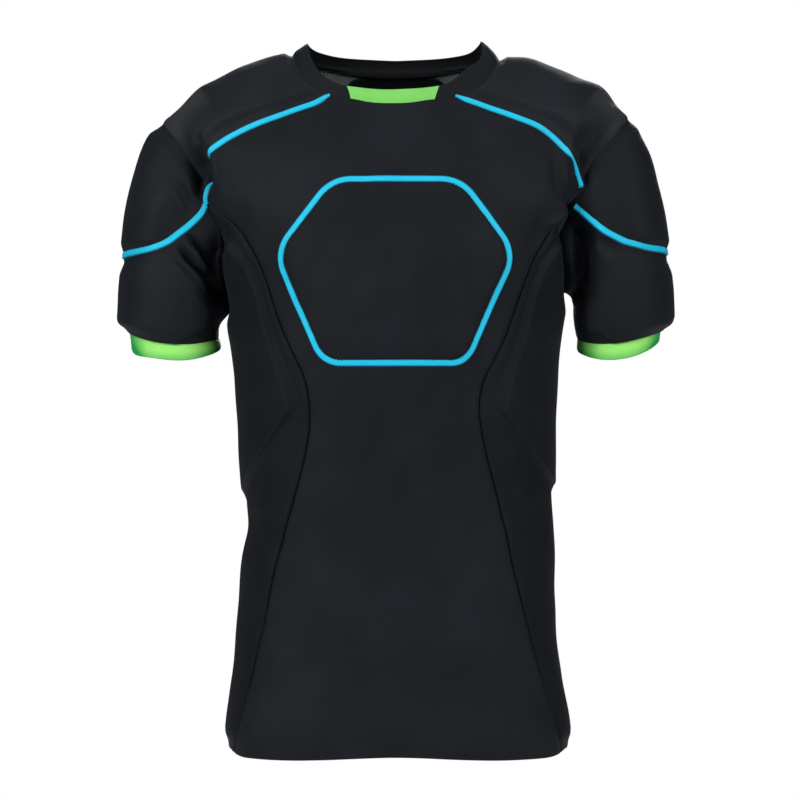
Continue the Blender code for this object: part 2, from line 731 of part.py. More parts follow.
def rows_between(start, end, count):
    """Sleeve places for the rows of a panel, with narrow border rows by both seams."""
    length = np.linalg.norm(sleeve_point(*end) - sleeve_point(*start), axis=-1)
    length = np.maximum(length, 1.0)
    border = np.minimum(BORDER / length, BORDER_MOST)
    rise = np.minimum(PAD_ROUND / length, ROUND_MOST)
    inner = np.linspace(0, 1, count - 1)[1:-1]
    shares = [np.zeros_like(length), border, rise]
    shares += [rise + (1 - 2 * rise) * share for share in inner]
    shares += [1 - rise, 1 - border, np.ones_like(length)]
    return [first + np.array(shares) * (last - first) for first, last in zip(start, end)]


def upper_sleeves(seams):
    """Shoulder caps of the sleeves, with the deltoid pad raised in the cloth."""
    scale = np.array((SLEEVE_SPAN, 1.0))
    head = np.stack((np.zeros_like(seams.yoke_angles), seams.yoke_angles), axis=-1)
    foot = seams.cap_places(seams.cap_flat)
    front, back = seams.cap_places(seams.cap_steep), seams.cap_places(1 - seams.cap_steep)
    place = np.moveaxis(patch(head * scale, foot * scale, front * scale, back * scale) / scale, -1, 0)
    thick = sleeve_normal(*place)
    thick[0] = seams.arm_thick
    pad = DELTOID_PAD * np.minimum(flat_top(CAP_ROWS, CAP_PAD_ROWS)[:, None],
                                   flat_top(seams.arm_shares, YOKE_PAD_ROWS)[None, :])
    half = SEAM_GAP / 2
    grid = draw_in(sleeve_point(*place), {"bottom": ARM_GAP / 2, "top": half, "left": half, "right": half})
    both_sides("upper_sleeve", grid - WALL * thick, grid + pad[..., None] * thick, "sleeve_cloth")


def lower_sleeves(seams):
    """Sleeve tubes below the cap seam, with the bicep pad raised in the cloth, and their cuffs."""
    steep = seams.cap_steep[:-1]
    shares = np.concatenate((steep, seams.cap_flat, 1 - steep[::-1]))
    top = seams.cap_places(shares)
    under = seams.under_angles[-2:0:-1] - 360
    start = np.concatenate((top[:, 0], np.zeros_like(under))), np.concatenate((top[:, 1], under))
    under_fan = (under + 180) * (180 - CUFF_FAN) / (180 - ARM_TIP) - 180
    around = np.concatenate((CUFF_FAN * (1 - 2 * shares), under_fan))
    place = rows_between(start, (np.ones_like(around), around), SLEEVE_ROWS)
    grid = sleeve_point(*place)
    thick = sleeve_normal(*place)
    on_arm = (start[0] <= 0)[:, None]
    thick[0] = np.where(on_arm, arm_mitre(start[1]), thick[0])
    cuff_thick = sleeve_normal(np.full(len(around), CUFF_ROWS[1]), around)
    thick[-1] = mitre(cuff_thick, thick[-1])
    pad = BICEP_PAD * ramp(place[0], *BICEP_ROWS) * (1 - ramp(np.abs(folded(place[1])), *BICEP_ANGLES))
    pad[:2], pad[-2:] = 0, 0
    along = unit(np.roll(grid[0], -1, axis=0) - np.roll(grid[0], 1, axis=0))
    inward = grid[1] - grid[0]
    inward = unit(inward - np.sum(inward * along, axis=1, keepdims=True) * along)
    away = np.where(on_arm, ARM_GAP / 2, SEAM_GAP / 2) * inward
    grid[0] += away + np.where(on_arm, ARM_GAP / 2 * torso_normal(grid[0]), 0.0)
    grid[-1] += SEAM_GAP / 2 * unit(grid[-2] - grid[-1])
    outside = grid + pad[..., None] * thick
    both_sides("lower_sleeve", grid - WALL * thick, outside, "sleeve_cloth", closed=True)
    cuff = sleeve_point(*np.meshgrid(CUFF_ROWS, around, indexing="ij"))
    cuff[0] += SEAM_GAP / 2 * unit(cuff[1] - cuff[0])
    walls = np.broadcast_to(cuff_thick, cuff.shape).copy()
    walls[0] = thick[-1]
    both_sides("cuff", cuff - WALL * walls, cuff, "green_elastic", closed=True)


def collar_band(first, last, first_top, last_top, stations):
    """Grid of collar points from one end to the other, with its wall direction."""
    low = np.linspace(first, last, stations + 1)
    high = np.linspace(first_top, last_top, stations + 1)
    foot, head = neck_edge(low), collar_edge(high)
    shares, bulge = COLLAR_ROWS.T[:, :, None, None]
    outward = collar_direction(low)
    grid = foot + shares * (head - foot) + bulge * outward
    thick = np.broadcast_to(outward, grid.shape).copy()
    thick[0] = mitre(torso_normal(foot), outward)
    grid[0] += NECK_GAP * unit(head - foot)
    return grid, thick


def collar_and_tab():
    """Collar band open at the front centre, and the elastic tab that closes it."""
    foot = neck_angle(TAB_HALF_BOTTOM, NECK_HALF_WIDTH, behind=False)
    head = neck_angle(TAB_HALF_TOP, COLLAR_HALF_WIDTH, behind=False)
    past_foot, past_head = foot + TAB_APART, head + TAB_APART
    grid, thick = collar_band(past_foot, 360 - past_foot, past_head, 360 - past_head, COLLAR_STATIONS)
    wall("collar", grid - WALL * thick, grid, "collar_cloth")
    foot, head = foot - TAB_APART, head - TAB_APART
    grid, thick = collar_band(-foot, foot, -head, head, TAB_STATIONS)
    wall("neck_tab", grid - WALL * thick, grid + (TAB_THICK - WALL) * thick, "green_elastic")


def rounded_half(corners):
    """Half outline with round corners, from the top centre line to the bottom one, in x and z."""
    top, bottom = corners[0], corners[-1]
    ends = [np.array((0.0, corner[1])) for corner in (top, bottom)]
    knots = [ends[0]] + [np.array(corner[:2], float) for corner in corners] + [ends[1]]
    points = [ends[0]]
    for index, corner in enumerate(corners):
        before, here, after = knots[index], knots[index + 1], knots[index + 2]
        back, ahead = unit(before - here), unit(after - here)
        half = math.acos(float(np.clip(back @ ahead, -1, 1))) / 2
        centre = here + unit(back + ahead) * corner[2] / math.sin(half)
        start = here + back * corner[2] / math.tan(half)
        first, sweep = start - centre, math.pi - 2 * half
        for step in np.linspace(0, 1, CORNER_STEPS + 1):
            turn = -sweep * step
            points.append(centre + np.array((first[0] * math.cos(turn) - first[1] * math.sin(turn),
                                             first[0] * math.sin(turn) + first[1] * math.cos(turn))))
    points.append(ends[1])
    return np.array(points)


def outline_pad(name, band_name, corners, height, behind):
    """Pad with a rounded six-sided outline on the front or back, and the band that frames it."""
    half = rounded_half(corners)
    fine = resample(half, np.linspace(0, 1, FINE_STEPS))
    loop = np.concatenate((fine, (fine * np.array((-1, 1)))[-2:0:-1]))
    centre = np.array((0.0, (corners[0][1] + corners[-1][1]) / 2))
    count = int(lengths_along(loop)[-1] / BAND_STEP)
    closed_loop = np.concatenate((loop, loop[:1]))
    line = resample(closed_loop, np.linspace(0, 1, count + 1)[:-1])
    ahead = unit(np.roll(line, -1, axis=0) - np.roll(line, 1, axis=0))
    outward = np.stack((-ahead[:, 1], ahead[:, 0]), axis=-1)
    edges = [line + side * BAND_WIDTH / 2 * outward for side in (-1, 1)]
    band = np.stack([face_point(edge[:, 0], edge[:, 1], behind) for edge in edges])
    direction = torso_normal(band)
    foot = band + LIFT * direction
    wall(band_name, foot, foot + BAND_THICK * direction, "cyan_thread", closed=True)
    inset = BAND_WIDTH / 2 + PAD_CLEAR
    shrink = 1 - inset / np.linalg.norm(fine - centre, axis=1, keepdims=True)
    pad_edge = centre + (fine - centre) * shrink
    top, bottom = PAD_CORNERS
    right = resample(pad_edge[top:bottom + 1], PAD_ROWS)[::-1]
    flip = np.array((-1, 1))
    foot_line = np.concatenate((pad_edge[bottom:] * flip, pad_edge[-2:bottom - 1:-1]))
    head_line = np.concatenate((pad_edge[top::-1] * flip, pad_edge[1:top + 1]))
    flat = patch(resample(foot_line, PAD_COLUMNS), resample(head_line, PAD_COLUMNS), right * flip, right)
    depth = np.minimum(edge_distance(flat, pad_edge), PAD_ROUND) / PAD_ROUND
    crown = height * np.sqrt(np.clip(1 - (1 - depth) ** 2, 0, 1))
    grid = face_point(flat[..., 0], flat[..., 1], behind)
    direction = torso_normal(grid)
    rim = LIFT + BAND_THICK
    wall(name, grid + LIFT * direction, grid + (rim + crown)[..., None] * direction, "body_cloth")


def edge_distance(flat, edge):
    """Distance from each plan point to an outline drawn for the +X half."""
    place = np.abs(flat) * np.array((1, 0)) + flat * np.array((0, 1))
    return np.min(np.linalg.norm(place[..., None, :] - edge, axis=-1), axis=-1)


def seam_band(stem, line, direction):
    """Flat band along a seam on the body."""
    along = unit(np.gradient(line, axis=0))
    across = unit(np.cross(direction, along))
    edges = onto_torso(np.stack([line + side * BAND_WIDTH / 2 * across for side in (-1, 1)]))
    up = torso_normal(edges)
    foot = edges + LIFT * up
    both_sides(stem, foot, foot + BAND_THICK * up, "cyan_thread")


def sleeve_beside(s, angles, shift):
    """Sleeve points beside given ones, moved along the cloth by a tangent shift."""
    step = 0.05
    along = sleeve_slope(s, angles)
    around = (sleeve_point(s, angles + step) - sleeve_point(s, angles - step)) / (2 * step)
    square = np.stack((np.stack((np.sum(along * along, -1), np.sum(along * around, -1)), -1),
                       np.stack((np.sum(along * around, -1), np.sum(around * around, -1)), -1)), -2)
    wanted = np.stack((np.sum(along * shift, -1), np.sum(around * shift, -1)), -1)
    change = np.linalg.solve(square, wanted[..., None])[..., 0]
    return s + change[..., 0], angles + change[..., 1]


def seam_bands(seams):
    """Bands on the yoke seams and round the cap seams of the sleeves."""
    for stem, seam in (("front_seam_band", seams.yoke_front), ("back_seam_band", seams.yoke_back)):
        smooth = smooth_through(seam)
        length = lengths_along(smooth)[-1]
        shares = np.linspace(BAND_NECK_END / length, 1 - BAND_ARM_END / length, int(length / BAND_STEP))
        line = onto_torso(resample(smooth, shares))
        seam_band(stem, line, torso_normal(line))
    length = seams.cap_lengths[-1]
    stops = np.linspace(CAP_BAND_END / length, 1 - CAP_BAND_END / length, int(length / BAND_STEP))
    middle, angles = seams.cap_places(stops).T
    ahead = unit(np.gradient(sleeve_point(middle, angles), axis=0))
    across = unit(np.cross(sleeve_normal(middle, angles), ahead))
    places = [sleeve_beside(middle, angles, side * BAND_WIDTH / 2 * across) for side in (-1, 1)]
    edges = np.stack([sleeve_point(*place) for place in places])
    up = np.stack([sleeve_normal(*place) for place in places])
    foot = edges + LIFT * up
    both_sides("sleeve_seam_band", foot, foot + BAND_THICK * up, "cyan_thread")


def main():
    """Clear the scene and build every piece."""
    for old in list(bpy.data.objects):
        bpy.data.objects.remove(old, do_unlink=True)
    seams = Seams()
    body_panel("front_panel", seams, behind=False)
    body_panel("back_panel", seams, behind=True)
    side_panels(seams)
    shoulder_yokes(seams)
    upper_sleeves(seams)
    lower_sleeves(seams)
    collar_and_tab()
    outline_pad("chest_pad", "chest_band", CHEST_OUTLINE, CHEST_PAD, behind=False)
    outline_pad("back_pad", "back_band", BACK_OUTLINE, BACK_PAD, behind=True)
    seam_bands(seams)


main()
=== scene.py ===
"""Looks of a padded rugby top: stretch panels over foam, flat cyan seams and green elastic trim.

The top stands filled out and empty, its front to -Y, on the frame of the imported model. Sizes of the form are
in millimetres, and every mesh is written in metres.
"""
import logging
import math
from dataclasses import dataclass, field, replace
from enum import Enum

import bmesh
import bpy
import numpy as np
from mathutils.kdtree import KDTree
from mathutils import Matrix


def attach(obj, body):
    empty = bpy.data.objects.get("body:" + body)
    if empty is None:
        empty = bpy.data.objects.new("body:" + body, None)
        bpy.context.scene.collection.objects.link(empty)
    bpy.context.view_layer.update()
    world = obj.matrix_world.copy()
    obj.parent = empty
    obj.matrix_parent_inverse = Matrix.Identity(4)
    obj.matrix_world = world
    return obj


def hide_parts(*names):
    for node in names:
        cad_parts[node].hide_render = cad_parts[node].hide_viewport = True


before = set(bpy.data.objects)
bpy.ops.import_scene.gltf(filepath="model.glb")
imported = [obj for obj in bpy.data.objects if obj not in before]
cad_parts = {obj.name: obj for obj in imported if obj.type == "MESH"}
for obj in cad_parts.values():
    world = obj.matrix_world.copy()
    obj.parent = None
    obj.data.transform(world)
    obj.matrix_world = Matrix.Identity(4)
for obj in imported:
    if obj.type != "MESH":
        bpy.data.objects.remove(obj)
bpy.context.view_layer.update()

# Types: arrays, node sockets, and two, three or four numbers
Array = np.ndarray
Socket = bpy.types.NodeSocket
Pair = tuple[float, float]
Triple = tuple[float, float, float]
Run = tuple[float, float, float, float]

LOG = logging.getLogger("padded_top")
MM = 0.001

# Names of the UV map of flat places and of the attribute of shade
FLAT = "flat"
TONE = "tone"

# Hem height, its rise at the middle over a reach, and its rise at the sides
HEM_Z = -690.0
HEM_RISE = 5.0
HEM_RISE_REACH = 75.0
HEM_SIDE_RISE = 4.0

# Neck hole in plan, and the standing collar's top edge
NECK_HALF_WIDTH = 103.0
NECK_FRONT = 82.0
NECK_BACK = 58.0
COLLAR_HALF_WIDTH = 88.0
COLLAR_FRONT = 77.0
COLLAR_BACK = 55.0
NECK_SQUARE_FRONT = 3.0
NECK_SQUARE_BACK = 2.4
YOKE_NECK_HALF = 61.0
TAB_HALF_TOP = 45.0
TAB_HALF_BOTTOM = 40.0

# Armhole oval, seen from the side, with the angle where yoke and body seams meet it
ARM_Z = -148.0
ARM_RISE = 88.0
ARM_FRONT = 58.0
ARM_BACK = 60.0
ARM_TIP = 90.0

# Cap seam round the sleeve: lowest share of the sleeve, bend, roundness, and its corner's share of the seam
CAP_REACH = 0.61
CAP_BEND = 4.0
CAP_ROUND = 0.75
CAP_CORNER = 0.2

# Height of the armhole seam over the shoulder and of the cap seam, between raised pads, and the latter's run
ARM_LIFT = 1.2
CAP_LIFT = 1.6
CAP_LIFT_RUN = (0.0, 0.3, 0.7, 1.0)

# Sleeve: rough length, squareness, the share that joins the armhole, and the angle that the cap spans below
SLEEVE_SPAN = 200.0
SLEEVE_SQUARE = 2.15
SLEEVE_JOIN = 0.35
CUFF_FAN = 118.0

# End of the cuff as a share of the sleeve, and its run below the sleeve's end
CUFF_END = 1.16
CUFF_RUN = np.array((-6.0, 0.0, -100.0))

# z, half width, depth in front, depth behind, squareness of the body's section
TORSO = np.array((
    (-720, 171, 117, 114, 2.45),
    (-675, 171, 116, 113, 2.45),
    (-633, 166, 114, 112, 2.40),
    (-585, 161, 112, 108, 2.35),
    (-537, 157, 110, 103, 2.30),
    (-489, 153, 110, 98, 2.30),
    (-445, 150, 112, 96, 2.30),
    (-420, 151, 114, 98, 2.30),
    (-320, 156, 125, 110, 2.30),
    (-280, 160, 128, 116, 2.35),
    (-236, 165, 129, 120, 2.35),
    (-200, 173, 127, 123, 2.40),
    (-170, 185, 123, 123, 2.40),
    (-150, 197, 120, 121, 2.35),
    (-135, 205, 116, 119, 2.30),
    (-112, 216, 109, 115, 2.25),
    (-92, 225, 102, 110, 2.20),
    (-76, 230, 95, 104, 2.20),
    (-60, 231, 87, 97, 2.15),
    (-44, 216, 78, 88, 2.10),
    (-33, 203, 70, 80, 2.10),
    (-26, 187, 65, 74, 2.10),
    (-10, 147, 54, 60, 2.10),
    (-3, 125, 49, 54, 2.10),
    (0, 104, 46, 50, 2.10),
    (12, 60, 34, 38, 2.10),
))

# Ring along the sleeve: outer x and z, inner x and z, depth in front, depth behind, front drop
SLEEVE = np.array((
    (231, -60, 165, -236, 58, 60, 0),
    (242, -79, 169, -241, 60, 62, 0),
    (251, -98, 171, -245, 62, 64, 0),
    (258, -120, 173, -249, 62, 64, 1),
    (263, -143, 174, -253, 61, 63, 2),
    (267, -168, 175, -257, 60, 62, 4),
    (269, -192, 176, -261, 59, 61, 5),
    (270, -212, 177, -265, 59, 60, 6),
    (272, -234, 178, -269, 58, 59, 7),
    (272, -256, 179, -273, 56, 57, 8),
    (265, -275, 180, -278, 52, 53, 9),
), float)

# Angle round the neck and height of the collar's top edge
COLLAR_TOP = np.array((
    (0, -37),
    (25, -32),
    (45, -21),
    (66, -4),
    (90, 16),
    (120, 11),
    (150, 7),
    (180, 5),
), float)

# Working steps: fine lines, curves between knots, crowding of columns at edges, moves onto the body, search
# heights for the shoulders, and the least mitre
FINE_STEPS = 400
KNOT_STEPS = 24
CROWD = 0.65
SETTLE_STEPS = 7
SEARCH_STEPS = 40
SHOULDER_SEARCH = (-320.0, 12.0)
MITRE_LEAST = 0.7

# Steps of the differences that give directions: on the body, along and round the sleeve, round the neck
LEVEL_STEP = 0.05
SHARE_STEP = 0.001
TURN_STEP = 0.05
NECK_STEP = 0.5

# Distance within which the ends of a closed grid are joined, in metres, and the least length of a direction
WELD = 1e-6
TINY = 1e-9


class Face(Enum):
    """Front or back of the top, by the sign of y there."""

    FRONT = -1
    BACK = 1


class Hand(Enum):
    """Side of the view, by the sign of x there."""

    LEFT = -1
    RIGHT = 1

    @property
    def word(self) -> str:
        """The side's name as used in piece names."""
        return self.name.lower()


class Edge(Enum):
    """Edge of a cloth grid: the axis that leads away from it, and its line's index."""

    BOTTOM = (0, 0)
    TOP = (0, -1)
    LEFT = (1, 0)
    RIGHT = (1, -1)


# Seams from neck and hem to the armhole, pad outlines with corner radii, and the rib pad's foot: x and z
YOKE_KNOTS = {
    Face.FRONT: ((106, -60), (146, -76), (168, -91), (180, -107), (184, -125)),
    Face.BACK: ((100, -32), (140, -60), (166, -88), (180, -112), (184, -128)),
}
SIDE_KNOTS = {
    Face.FRONT: ((163, HEM_Z), (137, -594), (101, -446), (85, -362), (111, -272), (147, -180)),
    Face.BACK: ((150, HEM_Z), (130, -594), (104, -446), (93, -362), (114, -272), (147, -180)),
}
PAD_OUTLINE = {
    Face.FRONT: ((62, -127, 40), (116, -198, 36), (71, -304, 27)),
    Face.BACK: ((58, -52, 40), (112, -128, 36), (66, -246, 27)),
}
RIB_FOOT = ((100, -350), (122, -384), (139, -411))
RIB_TIP_Z = -434.0
RIB_SEAM_Z = -338.0


def read_table(places: Array, values: Array, at: Array) -> Array:
    """Read one table column between its rows, without overshoot.

    Args:
        places: Rising positions of the rows.
        values: Values of the column at those rows.
        at: Positions to read.

    Returns:
        The column's values at those positions.
    """
    steps = np.diff(places)
    slopes = np.diff(values) / steps
    before, after = slopes[:-1], slopes[1:]
    near = 2 * steps[1:] + steps[:-1]
    far = steps[1:] + 2 * steps[:-1]
    same_way = before * after > 0
    safe_before = np.where(same_way, before, 1.0)
    safe_after = np.where(same_way, after, 1.0)
    inner = np.where(same_way, (near + far) / (near / safe_before + far / safe_after), 0.0)
    tangents = np.concatenate(([slopes[0]], inner, [slopes[-1]]))
    row = np.clip(np.searchsorted(places, at) - 1, 0, len(steps) - 1)
    t = (at - places[row]) / steps[row]
    rise = values[row + 1] - values[row]
    start = tangents[row] * steps[row]
    end = tangents[row + 1] * steps[row]
    return values[row] + t * (start + t * (3 * rise - 2 * start - end + t * (start + end - 2 * rise)))


def unit(vectors: Array) -> Array:
    """Vectors at length 1."""
    return vectors / np.maximum(np.linalg.norm(vectors, axis=-1, keepdims=True), TINY)


def lengths_along(points: Array, axis: int = 0) -> Array:
    """Distance of each point along the lines of an array.

    Args:
        points: Points, with their coordinates on the last axis.
        axis: The axis that the lines run along.

    Returns:
        The distances, 0 at each line's start.
    """
    steps = np.linalg.norm(np.diff(points, axis=axis), axis=-1)
    start = np.zeros_like(np.take(steps, [0], axis=axis))
    return np.concatenate((start, np.cumsum(steps, axis=axis)), axis=axis)


def resample(points: Array, shares: Array, values: Array | None = None) -> Array:
    """Read a polyline, or values that go with its points, at shares of its length.

    Args:
        points: Points of the polyline.
        shares: Shares of its length.
        values: Values at its points, or none to read the points themselves.

    Returns:
        The points or values there.
    """
    along = lengths_along(points)
    wanted = np.asarray(shares, float) * along[-1]
    columns = points.T if values is None else values.T
    return np.stack([np.interp(wanted, along, column) for column in columns], axis=-1)


def through(knots: Array) -> Array:
    """Dense curve through a few knots.

    Args:
        knots: The knots in order.

    Returns:
        The points of the curve.
    """
    knots = np.array(knots, float)
    along = lengths_along(knots)
    at = np.linspace(0, along[-1], KNOT_STEPS * (len(knots) - 1) + 1)
    return np.stack([read_table(along, column, at) for column in knots.T], axis=-1)


def eased(count: int) -> Array:
    """Shares from 0 to 1 in a number of steps, crowded at both ends."""
    even = np.linspace(0, 1, count + 1)
    return even - CROWD * np.sin(2 * np.pi * even) / (2 * np.pi)


def rise(value: Array, start: float, full: float) -> Array:
    """Soft rise from 0 at start to 1 at full."""
    t = np.clip((np.asarray(value, float) - start) / (full - start), 0, 1)
    return t * t * (3 - 2 * t)


def plateau(value: Array, borders: Run) -> Array:
    """Soft pad height over a run: 0 outside the borders, 1 between their inner pair."""
    low, up, down, end = borders
    return rise(value, low, up) * (1 - rise(value, down, end))


def turned_off(angles: Array) -> Array:
    """Angles as degrees off 0 to either side, up to 180."""
    return np.abs((angles + 180) % 360 - 180)


def on_side(points: Array, face: Face, blend: float) -> Array:
    """Share of each point that counts as front or back, with a soft change over a depth."""
    return 1 / (1 + np.exp(-face.value * points[..., 1] / blend))


def mirrored(points: Array, hand: Hand) -> Array:
    """Points made for the right of the view, on the named side."""
    return points * np.array((hand.value, 1.0, 1.0))


def mitre(first: Array, second: Array) -> Array:
    """Direction that splits two wall directions, long enough to keep both walls whole."""
    middle = unit(first + second)
    return middle / np.maximum(np.sum(middle * first, axis=-1, keepdims=True), MITRE_LEAST)


class BodyForm:
    """Rounded outside of the body cloth, with one section for each height."""

    def section(self, z: Array) -> list[Array]:
        """Half width, front depth, back depth and squareness at heights z."""
        return [read_table(TORSO[:, 0], TORSO[:, column], np.asarray(z, float)) for column in (1, 2, 3, 4)]

    def level(self, points: Array) -> Array:
        """How far out points lie: 1 on the outside of the cloth, less within.

        Args:
            points: Points to place.

        Returns:
            Their levels.
        """
        width, front, back, power = self.section(points[..., 2])
        depth = np.where(points[..., 1] < 0, front, back)
        total = (np.abs(points[..., 0]) / width) ** power + (np.abs(points[..., 1]) / depth) ** power
        return total ** (1 / power)

    def slope(self, points: Array) -> Array:
        """Gradient of the level, by central differences.

        Args:
            points: Points near the cloth.

        Returns:
            The gradients there.
        """
        shifts = LEVEL_STEP * np.eye(3)
        columns = [self.level(points + shift) - self.level(points - shift) for shift in shifts]
        return np.stack(columns, axis=-1) / (2 * LEVEL_STEP)

    def outward(self, points: Array) -> Array:
        """Outward direction of the cloth at points on it."""
        return unit(self.slope(points))

    def settle(self, points: Array) -> Array:
        """Move points onto the cloth.

        Args:
            points: Points near the cloth.

        Returns:
            The moved points.
        """
        points = np.array(points, float)
        for _ in range(SETTLE_STEPS):
            slope = self.slope(points)
            excess = self.level(points) - 1
            points -= excess[..., None] * slope / np.sum(slope * slope, axis=-1, keepdims=True)
        return points

    def on_face(self, x: Array, z: Array, face: Face) -> Array:
        """Points on the front or back at x and z.

        Args:
            x: Positions across.
            z: Heights.
            face: Front or back.

        Returns:
            The points.
        """
        x, z = np.broadcast_arrays(np.asarray(x, float), np.asarray(z, float))
        width, front, back, power = self.section(z)
        share = np.clip(1 - (np.abs(x) / width) ** power, 0, 1) ** (1 / power)
        depth = front if face is Face.FRONT else back
        return np.stack((x, face.value * depth * share, z), axis=-1)

    def on_flank(self, y: Array, z: Array) -> Array:
        """Points on the +X side at y and z.

        Args:
            y: Positions from front to back.
            z: Heights.

        Returns:
            The points.
        """
        width, front, back, power = self.section(z)
        depth = np.where(y < 0, front, back)
        x = width * np.clip(1 - (np.abs(y) / depth) ** power, 0, 1) ** (1 / power)
        return np.stack((x, y, z), axis=-1)

    def on_shoulders(self, x: Array, y: Array) -> Array:
        """Points on the shoulders straight above or below plan positions x and y.

        Args:
            x: Positions across.
            y: Positions from front to back.

        Returns:
            The points.
        """
        low = np.full(np.shape(x), SHOULDER_SEARCH[0])
        high = np.full(np.shape(x), SHOULDER_SEARCH[1])
        for _ in range(SEARCH_STEPS):
            middle = (low + high) / 2
            inside = self.level(np.stack((x, y, middle), axis=-1)) < 1
            low = np.where(inside, middle, low)
            high = np.where(inside, high, middle)
        return np.stack((x, y, (low + high) / 2), axis=-1)


BODY = BodyForm()


class SleeveForm:
    """Outside of the +X sleeve, from the armhole, share 0, to the cuff, share 1, and past it."""

    def armhole(self, angles: Array) -> Array:
        """Points round the armhole: 0 at the top, 90 in front, 180 under the arm."""
        ahead, up = np.sin(np.radians(angles)), np.cos(np.radians(angles))
        return BODY.on_flank(np.where(ahead > 0, -ARM_FRONT, -ARM_BACK) * ahead, ARM_Z + ARM_RISE * up)

    def ring(self, s: Array, angles: Array) -> Array:
        """Sleeve section before it is joined to the armhole.

        Args:
            s: Shares of the sleeve.
            angles: Angles round it.

        Returns:
            The points.
        """
        place = np.clip(np.asarray(s, float), 0, 1) * (len(SLEEVE) - 1)
        rows = np.arange(len(SLEEVE), dtype=float)
        out_x, out_z, in_x, in_z, front, back, drop = [read_table(rows, column, place) for column in SLEEVE.T]
        turn = np.radians(angles)
        bend = 2 / SLEEVE_SQUARE
        across = np.sign(np.cos(turn)) * np.abs(np.cos(turn)) ** bend
        forward = np.sign(np.sin(turn)) * np.abs(np.sin(turn)) ** bend
        x = (out_x + in_x) / 2 + across * (out_x - in_x) / 2
        z = (out_z + in_z) / 2 + across * (out_z - in_z) / 2 - drop * forward
        y = -np.where(forward > 0, front, back) * forward
        return np.stack((x, y, z), axis=-1)

    def point(self, s: Array, angles: Array) -> Array:
        """Points at shares and angles, joined smoothly to the armhole.

        Args:
            s: Shares of the sleeve.
            angles: Angles round it.

        Returns:
            The points.
        """
        s, angles = np.broadcast_arrays(np.asarray(s, float), np.asarray(angles, float))
        pull = self.armhole(angles) - self.ring(np.zeros_like(s), angles)
        fade = np.clip(1 - s / SLEEVE_JOIN, 0, 1) ** 2
        below = np.maximum(s - 1, 0)[..., None] * CUFF_RUN
        return self.ring(s, angles) + fade[..., None] * pull + below

    def slope(self, s: Array, angles: Array) -> Array:
        """Change of the point with the share."""
        low, high = np.maximum(s - SHARE_STEP, 0), s + SHARE_STEP
        return (self.point(high, angles) - self.point(low, angles)) / (high - low)[..., None]

    def turn(self, s: Array, angles: Array) -> Array:
        """Change of the point with the angle."""
        return (self.point(s, angles + TURN_STEP) - self.point(s, angles - TURN_STEP)) / (2 * TURN_STEP)

    def outward(self, s: Array, angles: Array) -> Array:
        """Outward direction of the sleeve cloth."""
        s, angles = np.broadcast_arrays(np.asarray(s, float), np.asarray(angles, float))
        return unit(np.cross(self.turn(s, angles), self.slope(s, angles)))

    def arm_mitre(self, angles: Array) -> Array:
        """Wall direction that body and sleeve share round the armhole."""
        angles = np.asarray(angles, float)
        return mitre(BODY.outward(self.armhole(angles)), self.outward(np.zeros(angles.shape), angles))


ARM = SleeveForm()


class NeckForm:
    """Neck seam and collar edge, by the angle round the neck: 0 in front, 90 at the +X side, 180 behind."""

    def plan(self, angles: Array, half_width: float, front: float, back: float) -> list[Array]:
        """Plan position on one of the neck's ovals.

        Args:
            angles: Angles round the neck.
            half_width: Half the oval's width.
            front: Its reach to the front.
            back: Its reach to the back.

        Returns:
            The x and y positions.
        """
        turn = np.radians(angles)
        ahead = np.cos(turn) > 0
        bend = np.where(ahead, 2 / NECK_SQUARE_FRONT, 2 / NECK_SQUARE_BACK)
        x = np.sign(np.sin(turn)) * np.abs(np.sin(turn)) ** bend * half_width
        y = np.where(ahead, -front, back) * np.abs(np.cos(turn)) ** bend
        return [x, y]

    def seam(self, angles: Array) -> Array:
        """Neck seam on the body."""
        return BODY.on_shoulders(*self.plan(angles, NECK_HALF_WIDTH, NECK_FRONT, NECK_BACK))

    def rim(self, angles: Array) -> Array:
        """Top edge of the collar."""
        height = read_table(COLLAR_TOP[:, 0], COLLAR_TOP[:, 1], turned_off(angles))
        return np.stack((*self.plan(angles, COLLAR_HALF_WIDTH, COLLAR_FRONT, COLLAR_BACK), height), axis=-1)

    def angle_at(self, x: float, half_width: float, face: Face) -> float:
        """Angle at which a neck oval reaches x.

        Args:
            x: Position across.
            half_width: Half the oval's width.
            face: Front or back.

        Returns:
            The angle in degrees.
        """
        square = NECK_SQUARE_BACK if face is Face.BACK else NECK_SQUARE_FRONT
        turn = math.degrees(math.asin((x / half_width) ** (square / 2)))
        return 180 - turn if face is Face.BACK else turn

    def outward(self, angles: Array) -> Array:
        """Outward direction of the collar at the neck seam."""
        up = unit(self.rim(angles) - self.seam(angles))
        return unit(np.cross(self.seam(angles + NECK_STEP) - self.seam(angles - NECK_STEP), up))


NECK = NeckForm()


